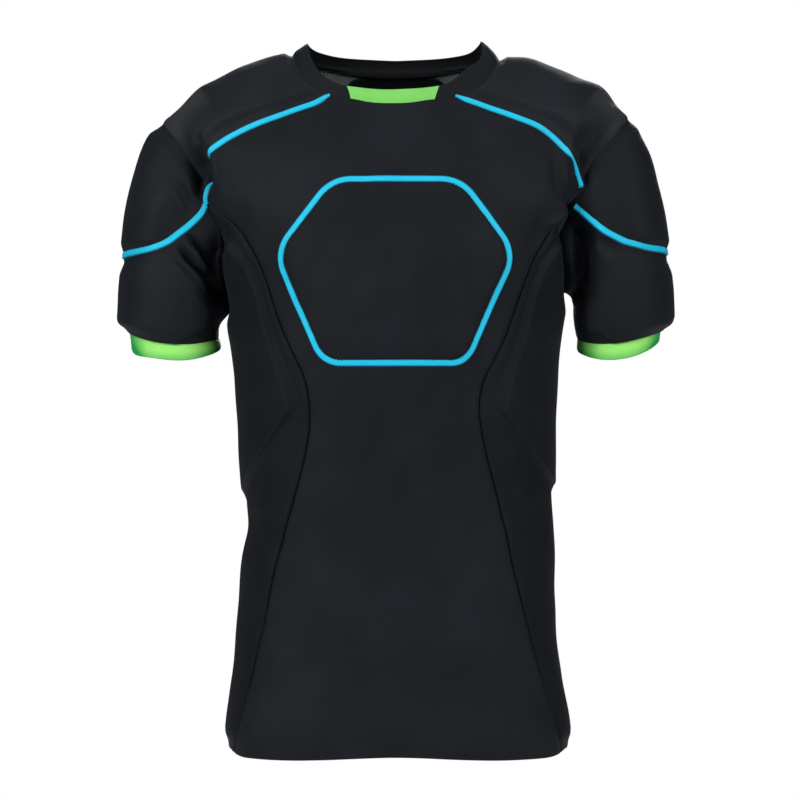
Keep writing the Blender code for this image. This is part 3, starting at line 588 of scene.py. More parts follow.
class SeamLines:
    """Seam lines on the +X half that neighbouring panels share."""

    def __init__(self) -> None:
        """Work out every line once."""
        self.tip = {Face.FRONT: ARM.armhole(np.array(ARM_TIP)), Face.BACK: ARM.armhole(np.array(-ARM_TIP))}
        self.neck_end = {face: NECK.angle_at(YOKE_NECK_HALF, NECK_HALF_WIDTH, face) for face in Face}
        self.yoke, self.side = {}, {}
        for face in Face:
            neck = NECK.seam(np.array([self.neck_end[face]]))[0]
            self.yoke[face] = self.to_armhole(((neck[0], neck[2]), *YOKE_KNOTS[face]), face)
            self.yoke[face][0] = neck
            self.side[face] = self.to_armhole(SIDE_KNOTS[face], face)
        share = np.linspace(0, 1, FINE_STEPS)
        angle = ARM_TIP * (1 - share ** CAP_BEND) ** CAP_ROUND
        front = np.stack((CAP_REACH * share, angle), axis=-1)
        self.cap_fine = np.concatenate((front, front[-2::-1] * np.array((1, -1))))
        self.cap_lengths = lengths_along(ARM.point(*self.cap_fine.T))

    def to_armhole(self, knots: tuple[Pair, ...], face: Face) -> Array:
        """Seam that runs to the armhole's tip.

        Args:
            knots: Places in x and z before the tip.
            face: Front or back.

        Returns:
            Points of the seam.
        """
        tip = self.tip[face]
        line = through((*knots, (tip[0], tip[2])))
        seam = BODY.on_face(line[:, 0], line[:, 1], face)
        seam[-1] = tip
        return seam

    def cap_places(self, shares: Array) -> Array:
        """Sleeve share and angle at shares of the cap seam's length."""
        wanted = np.asarray(shares) * self.cap_lengths[-1]
        return np.stack([np.interp(wanted, self.cap_lengths, column) for column in self.cap_fine.T], axis=-1)

    @staticmethod
    def arm_lift(angles: Array) -> Array:
        """Height that the pads on both sides give the armhole seam over the shoulder."""
        return ARM_LIFT * np.clip(np.cos(np.radians(angles)), 0, 1) ** 2

    @staticmethod
    def cap_lift(count: int) -> Array:
        """Height that the pads on both sides give the cap seam, at even places along it."""
        return CAP_LIFT * plateau(np.linspace(0, 1, count), CAP_LIFT_RUN)

    def hem_line(self, face: Face, shares: Array) -> Array:
        """Hem across the front or back, from the left seam to the right one.

        Args:
            face: Front or back.
            shares: Shares of its length.

        Returns:
            The points there.
        """
        half = SIDE_KNOTS[face][0][0]
        dense = BODY.on_face(np.linspace(-half, half, FINE_STEPS), HEM_Z, face)
        x = resample(dense, shares)[:, 0]
        lift = HEM_RISE * np.exp(-(x / HEM_RISE_REACH) ** 2)
        edge_lift = HEM_RISE * math.exp(-(half / HEM_RISE_REACH) ** 2)
        return BODY.on_face(x, HEM_Z + np.maximum(lift - edge_lift, 0), face)

    def side_hem(self, shares: Array) -> Array:
        """Hem round the side from the front seam to the back one.

        Args:
            shares: Shares of its length.

        Returns:
            The points there.
        """
        front, back = self.side[Face.FRONT][0], self.side[Face.BACK][0]
        turn = np.linspace(math.atan2(front[1], front[0]), math.atan2(back[1], back[0]), FINE_STEPS)
        lift = HEM_SIDE_RISE * np.sin(np.linspace(0, math.pi, FINE_STEPS)) ** 2
        ring = np.stack((front[0] * np.cos(turn), back[1] * np.sin(turn), HEM_Z + lift), axis=-1)
        for _ in range(SETTLE_STEPS):
            ring[:, :2] /= BODY.level(ring)[:, None]
        ring[0], ring[-1] = front, back
        return resample(ring, shares)

    def rib_line(self, shares: Array) -> Array:
        """Lower edge of the rib pad across the side, from the front seam to the back one.

        Args:
            shares: Shares of its length.

        Returns:
            The points there.
        """
        knots = np.array(RIB_FOOT, float)
        front = BODY.on_face(knots[:, 0], knots[:, 1], Face.FRONT)
        back = BODY.on_face(knots[::-1, 0], knots[::-1, 1], Face.BACK)
        tip = BODY.on_flank(np.array([0.0]), np.array([RIB_TIP_Z]))
        ends = [self.side[face][self.rib_turn(face)] for face in Face]
        line = through(np.concatenate((ends[:1], front, tip, back, ends[1:])))
        settled = BODY.settle(resample(line, shares))
        settled[0], settled[-1] = ends
        return settled

    def rib_turn(self, face: Face) -> int:
        """Index on the side seam where the rib pad's lower edge meets it."""
        return int(np.searchsorted(self.side[face][:, 2], RIB_SEAM_Z))


SEAMS = SeamLines()


def patch(bottom: Array, top: Array, left: Array, right: Array, on_body: bool = False) -> Array:
    """Fill four edges with points.

    Args:
        bottom: First row, from left to right.
        top: Last row, from left to right.
        left: First column, from bottom to top.
        right: Last column, from bottom to top.
        on_body: True to move the inner points onto the body.

    Returns:
        Rows and columns of points.
    """
    shares = [lengths_along(line) / lengths_along(line)[-1] for line in (bottom, top, left, right)]
    u = ((shares[0] + shares[1]) / 2)[None, :, None]
    v = ((shares[2] + shares[3]) / 2)[:, None, None]
    between_sides = (1 - u) * left[:, None] + u * right[:, None]
    between_ends = (1 - v) * bottom[None] + v * top[None]
    corners = ((1 - u) * (1 - v) * bottom[0] + u * (1 - v) * bottom[-1]
               + (1 - u) * v * top[0] + u * v * top[-1])
    grid = between_sides + between_ends - corners
    if on_body:
        grid[1:-1, 1:-1] = BODY.settle(grid[1:-1, 1:-1])
    return grid


def outline_patch(half: Array, corners: tuple[int, int], rows: int, columns: int) -> Array:
    """Grid that fills an outline whose two halves mirror each other.

    Args:
        half: Right half of the outline, from the top centre to the bottom one.
        corners: Points of it that become the grid's corners.
        rows: Number of rows.
        columns: Number of columns.

    Returns:
        Rows and columns of places in x and z.
    """
    top, bottom = corners
    flip = np.array((-1, 1))
    right = resample(half[top:bottom + 1], eased(rows))[::-1]
    foot = np.concatenate((half[bottom:] * flip, half[-2:bottom - 1:-1]))
    head = np.concatenate((half[top::-1] * flip, half[1:top + 1]))
    spread = eased(columns)
    return patch(resample(foot, spread), resample(head, spread), right * flip, right)


@dataclass
class Lay:
    """Cloth laid on the form: rows and columns of points and outward directions, in millimetres."""

    points: Array
    outward: Array
    pad: Array | float = 0.0
    sewn: tuple[Edge, ...] = ()
    hemmed: tuple[Edge, ...] = ()
    bound: tuple[Edge, ...] = ()
    closed: bool = False
    tone: Array | None = None
    facing: int = 1

    def on(self, hand: Hand) -> "Lay":
        """The same cloth on the named side."""
        return replace(self, points=mirrored(self.points, hand), outward=mirrored(self.outward, hand))

    def line(self, edge: Edge) -> Array:
        """Points of one edge."""
        axis, index = edge.value
        return np.take(self.points, index, axis=axis)

    def flat(self) -> Array:
        """Place of each point on the flat cloth, across and along."""
        across, along = lengths_along(self.points, axis=1), lengths_along(self.points, axis=0)
        return np.stack((across - across[:, [across.shape[1] // 2]], along), axis=-1)

    def area(self) -> float:
        """Area of the cloth in square millimetres."""
        sides = np.diff(self.points, axis=0)[:, :-1], np.diff(self.points, axis=1)[:-1]
        return float(np.sum(np.linalg.norm(np.cross(*sides), axis=-1)))

    def beside(self, edge: Edge, distance: float) -> tuple[Array, Array]:
        """Line on the cloth at a distance from an edge.

        Args:
            edge: The edge to follow.
            distance: Distance from it, in millimetres.

        Returns:
            Points of the line, and the outward directions there.
        """
        axis, index = edge.value
        grid = self.points if axis == 0 else self.points.swapaxes(0, 1)
        out = self.outward if axis == 0 else self.outward.swapaxes(0, 1)
        if index:
            grid, out = grid[::-1], out[::-1]
        along = lengths_along(grid, axis=0)
        row = np.argmax(along > distance, axis=0)
        columns = np.arange(grid.shape[1])
        share = (distance - along[row - 1, columns]) / (along[row, columns] - along[row - 1, columns])
        share = share[:, None]
        line, up = ((1 - share) * values[row - 1, columns] + share * values[row, columns]
                    for values in (grid, out))
        return line, unit(up)


@dataclass(frozen=True)
class Fold:
    """Soft fold of cloth: a ridge beside a hollow, between two places given by x and z."""

    start: Pair
    end: Pair
    half_width: float
    height: float
    face: Face = Face.FRONT
    bow: float = 0.0
    hollow: float = 0.6
    hollow_at: float = 1.7
    fade_in: Pair = (-0.15, 0.35)
    fade_out: Pair = (0.65, 1.15)
    blend: float = 5.0

    def height_at(self, points: Array) -> Array:
        """Height of the fold at points of the cloth.

        Args:
            points: Points of the cloth.

        Returns:
            The heights in millimetres.
        """
        first = np.array(self.start, float)
        run = np.array(self.end, float) - first
        length = np.linalg.norm(run)
        place = points[..., (0, 2)] - first
        along = place @ run / length ** 2
        off = (place[..., 0] * run[1] - place[..., 1] * run[0]) / length
        off = off - self.bow * 4 * along * (1 - along)
        fade = plateau(along, (*self.fade_in, *self.fade_out))
        ridge = np.exp(-(off / self.half_width) ** 2)
        dip = self.hollow * np.exp(-((off - self.hollow_at * self.half_width) / self.half_width) ** 2)
        return self.height * (ridge - dip) * fade * on_side(points, self.face, self.blend)


@dataclass(frozen=True)
class Creases:
    """Every fold of the top, and the slight unevenness of worn cloth."""

    folds: tuple[Fold, ...]
    uneven: float = 0.45
    waves: tuple[Triple, ...] = ((61, 0.3, 1.1), (83, 1.2, 2.7), (47, 2.1, 0.4), (37, 2.8, 4.9))
    depth_share: float = 0.6
    drift: float = 0.9
    drift_length: float = 71.0

    def height_at(self, points: Array) -> Array:
        """Height of folds and unevenness at points of the cloth.

        Args:
            points: Points of the cloth.

        Returns:
            The heights in millimetres.
        """
        total = sum((fold.height_at(points) for fold in self.folds), np.zeros(points.shape[:-1]))
        for length, turn, start in self.waves:
            run = points[..., 0] * math.cos(turn) + points[..., 2] * math.sin(turn)
            run = run + self.depth_share * points[..., 1]
            drift = self.drift * np.sin(run / self.drift_length + turn)
            total += self.uneven / 2 * np.sin(2 * np.pi * run / length + start + drift)
        return total


@dataclass(frozen=True)
class Shift:
    """Small move of a place of the top, given by x and z, that fades within a reach."""

    place: Pair
    move: Pair
    reach: Pair
    face: Face | None = None
    blend: float = 12.0

    def at(self, points: Array) -> Array:
        """Move of each point.

        Args:
            points: Points of the cloth.

        Returns:
            Their moves in millimetres.
        """
        across = (points[..., 0] - self.place[0]) / self.reach[0]
        up = (points[..., 2] - self.place[1]) / self.reach[1]
        share = np.exp(-across ** 2 - up ** 2)
        if self.face:
            share = share * on_side(points, self.face, self.blend)
        return share[..., None] * np.array((self.move[0], 0.0, self.move[1]))


@dataclass(frozen=True)
class Stance:
    """Uneven stance of the top: the small moves that make its left and right differ."""

    shifts: tuple[Shift, ...]

    def moved(self, points: Array) -> Array:
        """Points after every move."""
        return points + sum((shift.at(points) for shift in self.shifts), np.zeros(points.shape))


STANCE = Stance((
    # Shoulders, yoke seams and armholes
    Shift((-205, -28), (8, -1), (46, 40)),
    Shift((-238, -68), (-4, -5), (22, 22)),
    Shift((-176, -96), (-7, 0), (32, 30)),
    Shift((176, -96), (-7, 0), (34, 34)),
    Shift((180, -146), (-6, 2), (20, 24)),
    Shift((184, -132), (5, 0), (9, 9)),
    Shift((-186, -144), (-7, 1), (14, 18)),
    Shift((-178, -132), (-4, 8), (8, 10)),
    Shift((-190, -152), (4.5, -0.5), (11, 10)),
    Shift((162, -157), (8, 0), (10, 13)),
    # Neck, collar and tab
    Shift((-6, -30), (-5, 0), (60, 24), Face.FRONT),
    Shift((-98, 0), (0, 3.5), (9, 9)),
    Shift((112, 4), (0, -2), (12, 12)),
    Shift((88, 16), (-3, 2.5), (12, 10)),
    Shift((62, -16), (0, 10), (16, 11), Face.FRONT),
    Shift((-42, -53), (-3.5, 4.5), (20, 9), Face.FRONT),
    Shift((38, -53), (0, 3.8), (20, 9), Face.FRONT),
    Shift((-65, -46), (0.5, 2.2), (10, 9), Face.FRONT),
    Shift((61, -46), (-4, 2), (10, 9), Face.FRONT),
    # Sleeve caps and their seams
    Shift((262, -120), (-3, 0), (30, 70)),
    Shift((-272, -194), (-1, -2.5), (40, 20)),
    Shift((-204, -162), (-1, -5), (24, 16)),
    Shift((196, -163), (0, -6), (22, 16)),
    Shift((208, -171), (0, -2.3), (12, 14)),
    Shift((238, -187), (0, 1.6), (12, 14)),
    Shift((266, -193), (0, 1.4), (18, 18)),
    # Inner sleeves, sleeve ends and cuffs
    Shift((175, -232), (3, 2), (8, 12)),
    Shift((177, -238), (5, 3), (10, 22)),
    Shift((-174, -247), (9, -3), (10, 13)),
    Shift((-268, -275), (-3, 4), (24, 13)),
    Shift((-264, -294), (-1, -6), (22, 8)),
    Shift((-262, -285), (0, 3), (36, 36)),
    Shift((262, -285), (0, 7), (36, 36)),
    Shift((-183, -290), (6, 2), (14, 18)),
    # Sides of the chest and the waist
    Shift((-162, -252), (-3.5, 0), (14, 40)),
    Shift((-165, -206), (-9, 0), (13, 22)),
    Shift((161, -214), (5.5, 0), (11, 26)),
    Shift((-154, -440), (1, -10), (30, 26)),
    Shift((-152, -468), (3, 0), (24, 24)),
    Shift((152, -474), (2.5, 0), (24, 40)),
    Shift((154, -450), (4, 0), (40, 90)),
    # Front side seams
    Shift((-99, -324), (5, 0), (22, 44), Face.FRONT),
    Shift((-116, -500), (-4, 0), (30, 60), Face.FRONT),
    Shift((89, -324), (-7, 0), (22, 44), Face.FRONT),
    Shift((95, -240), (-3.2, 0), (22, 50), Face.FRONT),
    # Hem corners
    Shift((-172, -688), (4, 5), (14, 14)),
    Shift((172, -688), (-3, 5), (14, 14)),
    Shift((170, -660), (4, 0), (40, 50)),
))

CREASES = Creases((
    # Beside the armholes in front
    Fold((-171, -92), (-171, -140), 5, 5.4),
    Fold((170, -96), (171, -142), 6, 4.2),
    Fold((-160, -196), (-176, -204), 4, 3),
    Fold((143, -172), (167, -158), 5, 4),
    Fold((-160, -172), (-138, -206), 8, 2.4, bow=3),
    Fold((158, -166), (139, -200), 8, 2.4, bow=-3),
    Fold((-190, -94), (-182, -142), 8, -19, hollow=0),
    Fold((-191, -80), (-184, -97), 3, -4, hollow=0.2),
    Fold((-214, -128), (-197, -152), 5, -4, hollow=0.3),
    Fold((194, -98), (187, -130), 3.6, -8, hollow=0),
    Fold((178, -148), (178, -180), 6, -9, hollow=0),
    Fold((187, -74), (194, -110), 6.5, -7, hollow=0.2),
    # Armpits and inner sleeves in front
    Fold((-203, -178), (-174, -217), 3.4, -12),
    Fold((-207, -186), (-178, -222), 3.6, 3.5, hollow=0),
    Fold((-213, -192), (-178, -229), 3.4, -10),
    Fold((-174, -178), (-173, -240), 8, -10, hollow=0),
    Fold((173, -172), (172, -240), 9, -12, hollow=0),
    Fold((-179, -190), (-177, -250), 10, -12, hollow=0.1),
    Fold((180, -140), (178, -244), 15, -17, hollow=0.05),
    Fold((200, -176), (216, -196), 7, -3),
    Fold((-175, -232), (-174, -252), 7, 2.5),
    # Waist and hem in front
    Fold((-140, -430), (-108, -446), 9, 1.6, bow=3),
    Fold((140, -426), (104, -442), 9, 1.6, bow=-3),
    Fold((-128, -470), (-92, -458), 10, 1.2, bow=-2),
    Fold((126, -474), (94, -460), 10, 1.2, bow=2),
    Fold((-150, -610), (-120, -560), 12, 1.3),
    Fold((148, -620), (122, -566), 12, 1.3),
    # Back
    Fold((-168, -98), (-166, -146), 7, 3.8, Face.BACK),
    Fold((169, -102), (166, -150), 7, 3.8, Face.BACK),
    Fold((-196, -172), (-176, -206), 5, -3.4, Face.BACK),
    Fold((198, -178), (176, -210), 5, -3.4, Face.BACK),
    Fold((-96, -436), (-20, -452), 12, 1.8, Face.BACK, 5),
    Fold((-40, -472), (70, -466), 13, 1.8, Face.BACK, -5),
    Fold((20, -430), (98, -440), 11, 1.6, Face.BACK, 4),
    Fold((-110, -330), (-60, -372), 12, 1.6, Face.BACK),
    Fold((112, -322), (66, -368), 12, 1.6, Face.BACK),
))


class NodeSheet:
    """Adds and links the nodes of one material, group or world."""

    def __init__(self, tree: bpy.types.NodeTree) -> None:
        """Work on one node tree."""
        self.tree = tree

    def add(self, kind: str, *values: object, **settings: object) -> bpy.types.Node:
        """Add a node of one kind.

        Args:
            kind: Type of the node, without its leading ShaderNode.
            values: Its first inputs in order, sockets to link or values to set.
            settings: Properties to set on it.

        Returns:
            The new node.
        """
        node = self.tree.nodes.new("ShaderNode" + kind)
        for name, value in settings.items():
            setattr(node, name, value)
        self.feed(node, dict(enumerate(values)))
        return node

    def feed(self, node: bpy.types.Node, inputs: dict) -> None:
        """Link or set inputs of a node.

        Args:
            node: The node.
            inputs: Sockets to link or values to set, by the name or place of the input.
        """
        for key, value in inputs.items():
            if isinstance(value, Socket):
                self.tree.links.new(value, node.inputs[key])
            else:
                node.inputs[key].default_value = value

    def math(self, operation: str, *values: object) -> Socket:
        """Result of one math node, its inputs sockets or numbers."""
        return self.add("Math", *values, operation=operation).outputs[0]

    def noise(self, place: Socket, scale: float, detail: float) -> Socket:
        """Value of a noise texture at a place.

        Args:
            place: Coordinates.
            scale: Waves in one unit of them.
            detail: Levels of finer noise.

        Returns:
            The value socket.
        """
        node = self.add("TexNoise", place)
        self.feed(node, {"Scale": scale, "Detail": detail})
        return node.outputs["Fac"]

    def blend(self, share: object, first: object, second: object) -> Socket:
        """Colour between two colours.

        Args:
            share: Share of the second one.
            first: First colour.
            second: Second colour.

        Returns:
            The colour socket.
        """
        node = self.add("Mix", share, data_type="RGBA")
        low, high = (place for place, socket in enumerate(node.inputs) if socket.type == "RGBA")
        self.feed(node, {low: first, high: second})
        return next(socket for socket in node.outputs if socket.type == "RGBA")

    def span(self, value: object, source: Pair, target: Pair = (0.0, 1.0)) -> Socket:
        """Value carried smoothly from its source range to a target range."""
        return self.add("MapRange", value, *source, *target, interpolation_type="SMOOTHSTEP").outputs[0]

    def scaled(self, place: Socket, factor: object) -> Socket:
        """Coordinates times a factor.

        Args:
            place: The coordinates.
            factor: A number, or a socket.

        Returns:
            The coordinates socket.
        """
        node = self.add("VectorMath", place, operation="SCALE")
        self.feed(node, {"Scale": factor})
        return node.outputs[0]


class Pattern(Enum):
    """Surface patterns that several finishes share, each a node group."""

    KNIT = "knit"
    MESH = "mesh"
    RIB = "rib"
    WEAR = "wear"

    def group(self) -> bpy.types.NodeTree:
        """The pattern's node group, made on first use."""
        known = bpy.data.node_groups.get(self.value)
        return known if known else getattr(self, "make_" + self.value)()

    def begin(self, *outputs: str) -> tuple[NodeSheet, list, bpy.types.Node]:
        """Start a group with a place and a size.

        Args:
            outputs: Names of its outputs.

        Returns:
            The node sheet, the input sockets, and the output node.
        """
        tree = bpy.data.node_groups.new(self.value, "ShaderNodeTree")
        tree.interface.new_socket("Place", in_out="INPUT", socket_type="NodeSocketVector")
        tree.interface.new_socket("Size", in_out="INPUT", socket_type="NodeSocketFloat")
        for name in outputs:
            tree.interface.new_socket(name, in_out="OUTPUT", socket_type="NodeSocketFloat")
        entry = tree.nodes.new("NodeGroupInput")
        leave = tree.nodes.new("NodeGroupOutput")
        return NodeSheet(tree), list(entry.outputs), leave

    def make_knit(self) -> bpy.types.NodeTree:
        """Jersey stitches: rows of small leaning loops.

        Returns:
            The node group.
        """
        row_height, lean_share, edge_fall = 0.8, 0.5, -0.55
        nodes, (place, size, _), leave = self.begin("Height")
        parts = nodes.add("SeparateXYZ", place)
        column = nodes.math("FRACT", nodes.math("DIVIDE", parts.outputs[0], size))
        lean = nodes.math("ABSOLUTE", nodes.math("MULTIPLY_ADD", column, 2.0, -1.0))
        row = nodes.math("DIVIDE", parts.outputs[1], nodes.math("MULTIPLY", size, row_height))
        loop = nodes.math("FRACT", nodes.math("MULTIPLY_ADD", lean, lean_share, row))
        bulge = nodes.math("SINE", nodes.math("MULTIPLY", loop, math.pi))
        edge = nodes.math("MULTIPLY_ADD", nodes.math("MULTIPLY", lean, lean), edge_fall, 1.0)
        nodes.feed(leave, {"Height": nodes.math("MULTIPLY", bulge, edge)})
        return nodes.tree

    def make_mesh(self) -> bpy.types.NodeTree:
        """Eyelet mesh: small round holes in offset rows.

        Returns:
            The node group.
        """
        hole_edge, row_turn = (0.26, 0.4), math.radians(45)
        nodes, (place, size, _), leave = self.begin("Height")
        turned = nodes.add("Mapping", nodes.scaled(place, nodes.math("DIVIDE", 1.0, size)))
        nodes.feed(turned, {"Rotation": (0.0, 0.0, row_turn)})
        holes = nodes.add("TexVoronoi", turned.outputs[0], voronoi_dimensions="2D")
        nodes.feed(holes, {"Scale": 1.0, "Randomness": 0.0})
        nodes.feed(leave, {"Height": nodes.span(holes.outputs["Distance"], hole_edge)})
        return nodes.tree

    def make_rib(self) -> bpy.types.NodeTree:
        """Woven elastic: fine cords along, crossed by finer threads.

        Returns:
            The node group.
        """
        thread_pitch, thread_shift, thread_depth = 0.7, 0.5, 0.4
        nodes, (place, size, _), leave = self.begin("Height")
        parts = nodes.add("SeparateXYZ", place)
        cord = nodes.math("DIVIDE", parts.outputs[1], size)
        cords = nodes.math("ABSOLUTE", nodes.math("SINE", nodes.math("MULTIPLY", cord, math.pi)))
        across = nodes.math("DIVIDE", parts.outputs[0], nodes.math("MULTIPLY", size, thread_pitch))
        shifted = nodes.math("ADD", across, nodes.math("MULTIPLY", nodes.math("FLOOR", cord), thread_shift))
        threads = nodes.math("ABSOLUTE", nodes.math("SINE", nodes.math("MULTIPLY", shifted, math.pi)))
        crossed = nodes.math("MULTIPLY_ADD", threads, thread_depth, 1 - thread_depth)
        nodes.feed(leave, {"Height": nodes.math("MULTIPLY", cords, crossed)})
        return nodes.tree

    def make_wear(self) -> bpy.types.NodeTree:
        """Wear: broad fading of the dye, and sparse specks of lint.

        Returns:
            The node group.
        """
        fade_scale, fade_detail, fade_range = 0.016, 3.0, (0.35, 0.7)
        lint_scale, lint_detail, lint_range = 0.9, 1.0, (0.74, 0.8)
        nodes, (place, size, _), leave = self.begin("Fade", "Lint")
        fade = nodes.span(nodes.noise(place, fade_scale, fade_detail), fade_range)
        lint = nodes.span(nodes.noise(place, lint_scale, lint_detail), lint_range)
        nodes.feed(leave, {"Fade": nodes.math("MULTIPLY", fade, size), "Lint": lint})
        return nodes.tree


@dataclass(frozen=True)
class ClothFinish:
    """One cloth: its colour, gloss, sheen and surface pattern, with sizes in millimetres."""

    name: str
    colour: Triple
    groove: Triple
    roughness: float
    sheen: float
    sheen_tint: Triple
    specular: float
    pattern: Pattern
    size: float
    depth: float
    fade: float = 0.5
    lint: float = 0.02
    shade: Triple | None = None
    lint_colour: Triple = (0.5, 0.5, 0.5)
    weave_full: float = 0.6
    polish: float = 0.06
    bump: float = 0.6
    sheen_roughness: float = 0.45

    def material(self) -> bpy.types.Material:
        """The finish as a material, made on first use."""
        known = bpy.data.materials.get(self.name)
        return known if known else self.make()

    def make(self) -> bpy.types.Material:
        """Build the material's nodes.

        Returns:
            The material.
        """
        material = bpy.data.materials.new(self.name)
        material.use_nodes = True
        nodes = NodeSheet(material.node_tree)
        shader = material.node_tree.nodes["Principled BSDF"]
        flat = nodes.scaled(nodes.add("UVMap", uv_map=FLAT).outputs[0], 1 / MM)
        weave = self.drawn(nodes, self.pattern, flat, self.size).outputs[0]
        body = nodes.scaled(nodes.add("TexCoord").outputs["Object"], 1 / MM)
        wear = self.drawn(nodes, Pattern.WEAR, body, 1.0)
        worn = tuple(value * (1 + self.fade) for value in self.colour)
        dyed = nodes.blend(wear.outputs["Fade"], (*self.colour, 1.0), (*worn, 1.0))
        raised = nodes.span(weave, (0.0, self.weave_full))
        threads = nodes.blend(raised, (*self.groove, 1.0), dyed)
        # Shade colour where the piece's tone attribute asks for it: painted highlight on the yoke strips,
        # painted shade on the collar's foot and the cuffs, and dark brims on the flat seams
        if self.shade:
            tone = nodes.add("Attribute", attribute_name=TONE)
            threads = nodes.blend(tone.outputs["Fac"], threads, (*self.shade, 1.0))
        lint = nodes.math("MULTIPLY", wear.outputs["Lint"], self.lint)
        bump = nodes.add("Bump")
        nodes.feed(bump, {"Strength": self.bump, "Distance": self.depth * MM, "Height": weave})
        nodes.feed(shader, {
            "Base Color": nodes.blend(lint, threads, (*self.lint_colour, 1.0)),
            "Roughness": nodes.math("MULTIPLY_ADD", wear.outputs["Fade"], -self.polish, self.roughness),
            "Normal": bump.outputs[0],
            "Sheen Weight": self.sheen,
            "Sheen Roughness": self.sheen_roughness,
            "Sheen Tint": (*self.sheen_tint, 1.0),
            "Specular IOR Level": self.specular,
        })
        return material

    @staticmethod
    def drawn(nodes: NodeSheet, pattern: Pattern, place: Socket, size: float) -> bpy.types.Node:
        """Place a pattern's group in the material.

        Args:
            nodes: The material's nodes.
            pattern: The pattern.
            place: Coordinates for it, in millimetres.
            size: Its size or strength.

        Returns:
            The group node.
        """
        node = nodes.add("Group", node_tree=pattern.group())
        nodes.feed(node, {"Place": place, "Size": size})
        return node


COOL = (0.80, 0.88, 1.0)
SKY = (0.6, 0.9, 1.0)
LEAF = (0.75, 1.0, 0.65)
BODY_JERSEY = ClothFinish("body_jersey", (0.0061, 0.0078, 0.0112), (0.0038, 0.005, 0.0072),
                          0.62, 0.05, COOL, 0.14, Pattern.KNIT, 0.9, 0.14)
SIDE_MESH = ClothFinish("side_mesh", (0.0057, 0.0073, 0.0102), (0.002, 0.0026, 0.0036),
                        0.6, 0.04, COOL, 0.12, Pattern.MESH, 1.9, 0.18)
# Its shade colour is a painted highlight: paler cloth on the yoke's strip by the armhole, where it faces the
# light
PAD_JERSEY = ClothFinish("pad_jersey", (0.0074, 0.0095, 0.0128), (0.005, 0.0064, 0.0086),
                         0.58, 0.06, COOL, 0.16, Pattern.KNIT, 0.9, 0.14, shade=(0.029, 0.032, 0.036))
SLEEVE_JERSEY = ClothFinish("sleeve_jersey", (0.0063, 0.0081, 0.0114), (0.004, 0.0053, 0.0074),
                            0.6, 0.05, COOL, 0.15, Pattern.KNIT, 0.9, 0.14)
# Its shade colour is a painted shadow line along the collar's seam at its foot
COLLAR_RIB = ClothFinish("collar_rib", (0.006, 0.0078, 0.0104), (0.004, 0.0052, 0.007),
                         0.64, 0.05, COOL, 0.14, Pattern.RIB, 1.2, 0.16, shade=(0.0012, 0.0016, 0.0022))
# Darker copy of the collar rib for its inside: painted shade inside the neck
COLLAR_SHADED_INSIDE = replace(COLLAR_RIB, name="collar_shaded_inside", colour=(0.0036, 0.0048, 0.0064),
                        groove=(0.0022, 0.003, 0.004))
LINING_MESH = ClothFinish("lining_mesh", (0.26, 0.28, 0.29), (0.006, 0.007, 0.008),
                          0.7, 0.03, COOL, 0.12, Pattern.MESH, 4.4, 0.25)
LINING_PLAIN = ClothFinish("lining_plain", (0.005, 0.0066, 0.008), (0.003, 0.004, 0.005),
                           0.72, 0.03, COOL, 0.1, Pattern.KNIT, 0.9, 0.14)
GREEN_ELASTIC = ClothFinish("elastic_weave", (0.23, 0.7, 0.135), (0.11, 0.47, 0.07),
                            0.5, 0.06, LEAF, 0.3, Pattern.RIB, 1.1, 0.16, 0.12, 0.0)
# Its shade colour is painted shade: dark emerald where the cuff turns from the light at its sides, and along
# its bottom edge
CUFF_ELASTIC = replace(GREEN_ELASTIC, name="cuff_weave", colour=(0.37, 0.95, 0.19),
                       groove=(0.2, 0.72, 0.11), shade=(0.012, 0.4, 0.08))
CYAN_THREAD = ClothFinish("seam_thread", (0.012, 0.64, 0.9), (0.006, 0.44, 0.74),
                          0.5, 0.06, SKY, 0.28, Pattern.RIB, 0.8, 0.1, 0.08, 0.0,
                          shade=(0.001, 0.085, 0.19))
BLUE_THREAD = ClothFinish("blue_thread", (0.01, 0.2, 0.42), (0.006, 0.12, 0.3),
                          0.5, 0.06, SKY, 0.3, Pattern.RIB, 0.8, 0.1, 0.08, 0.0)
BLACK_THREAD = ClothFinish("black_thread", (0.01, 0.0115, 0.014), (0.006, 0.007, 0.0085),
                           0.5, 0.08, COOL, 0.24, Pattern.RIB, 0.6, 0.08, 0.2, 0.0)


def in_scene(name: str, data: bpy.types.ID) -> bpy.types.Object:
    """Put something in the scene.

    Args:
        name: Its name.
        data: Its mesh, curve, light or camera.

    Returns:
        The new object.
    """
    made = bpy.data.objects.new(name, data)
    bpy.context.scene.collection.objects.link(made)
    return made


def new_piece(name: str, mesh: bpy.types.Mesh, finishes: tuple[ClothFinish, ...],
              stands_in: bool = True) -> bpy.types.Object:
    """Put a mesh in the scene as a piece of the top.

    Args:
        name: Name of the piece, and of the solid that it stands for.
        mesh: Its mesh.
        finishes: Finish of each material slot of the mesh.
        stands_in: True if it stands for a solid.

    Returns:
        The piece.
    """
    for finish in finishes:
        mesh.materials.append(finish.material())
    piece = in_scene(name, mesh)
    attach(piece, "root")
    if stands_in:
        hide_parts(name)
    return piece


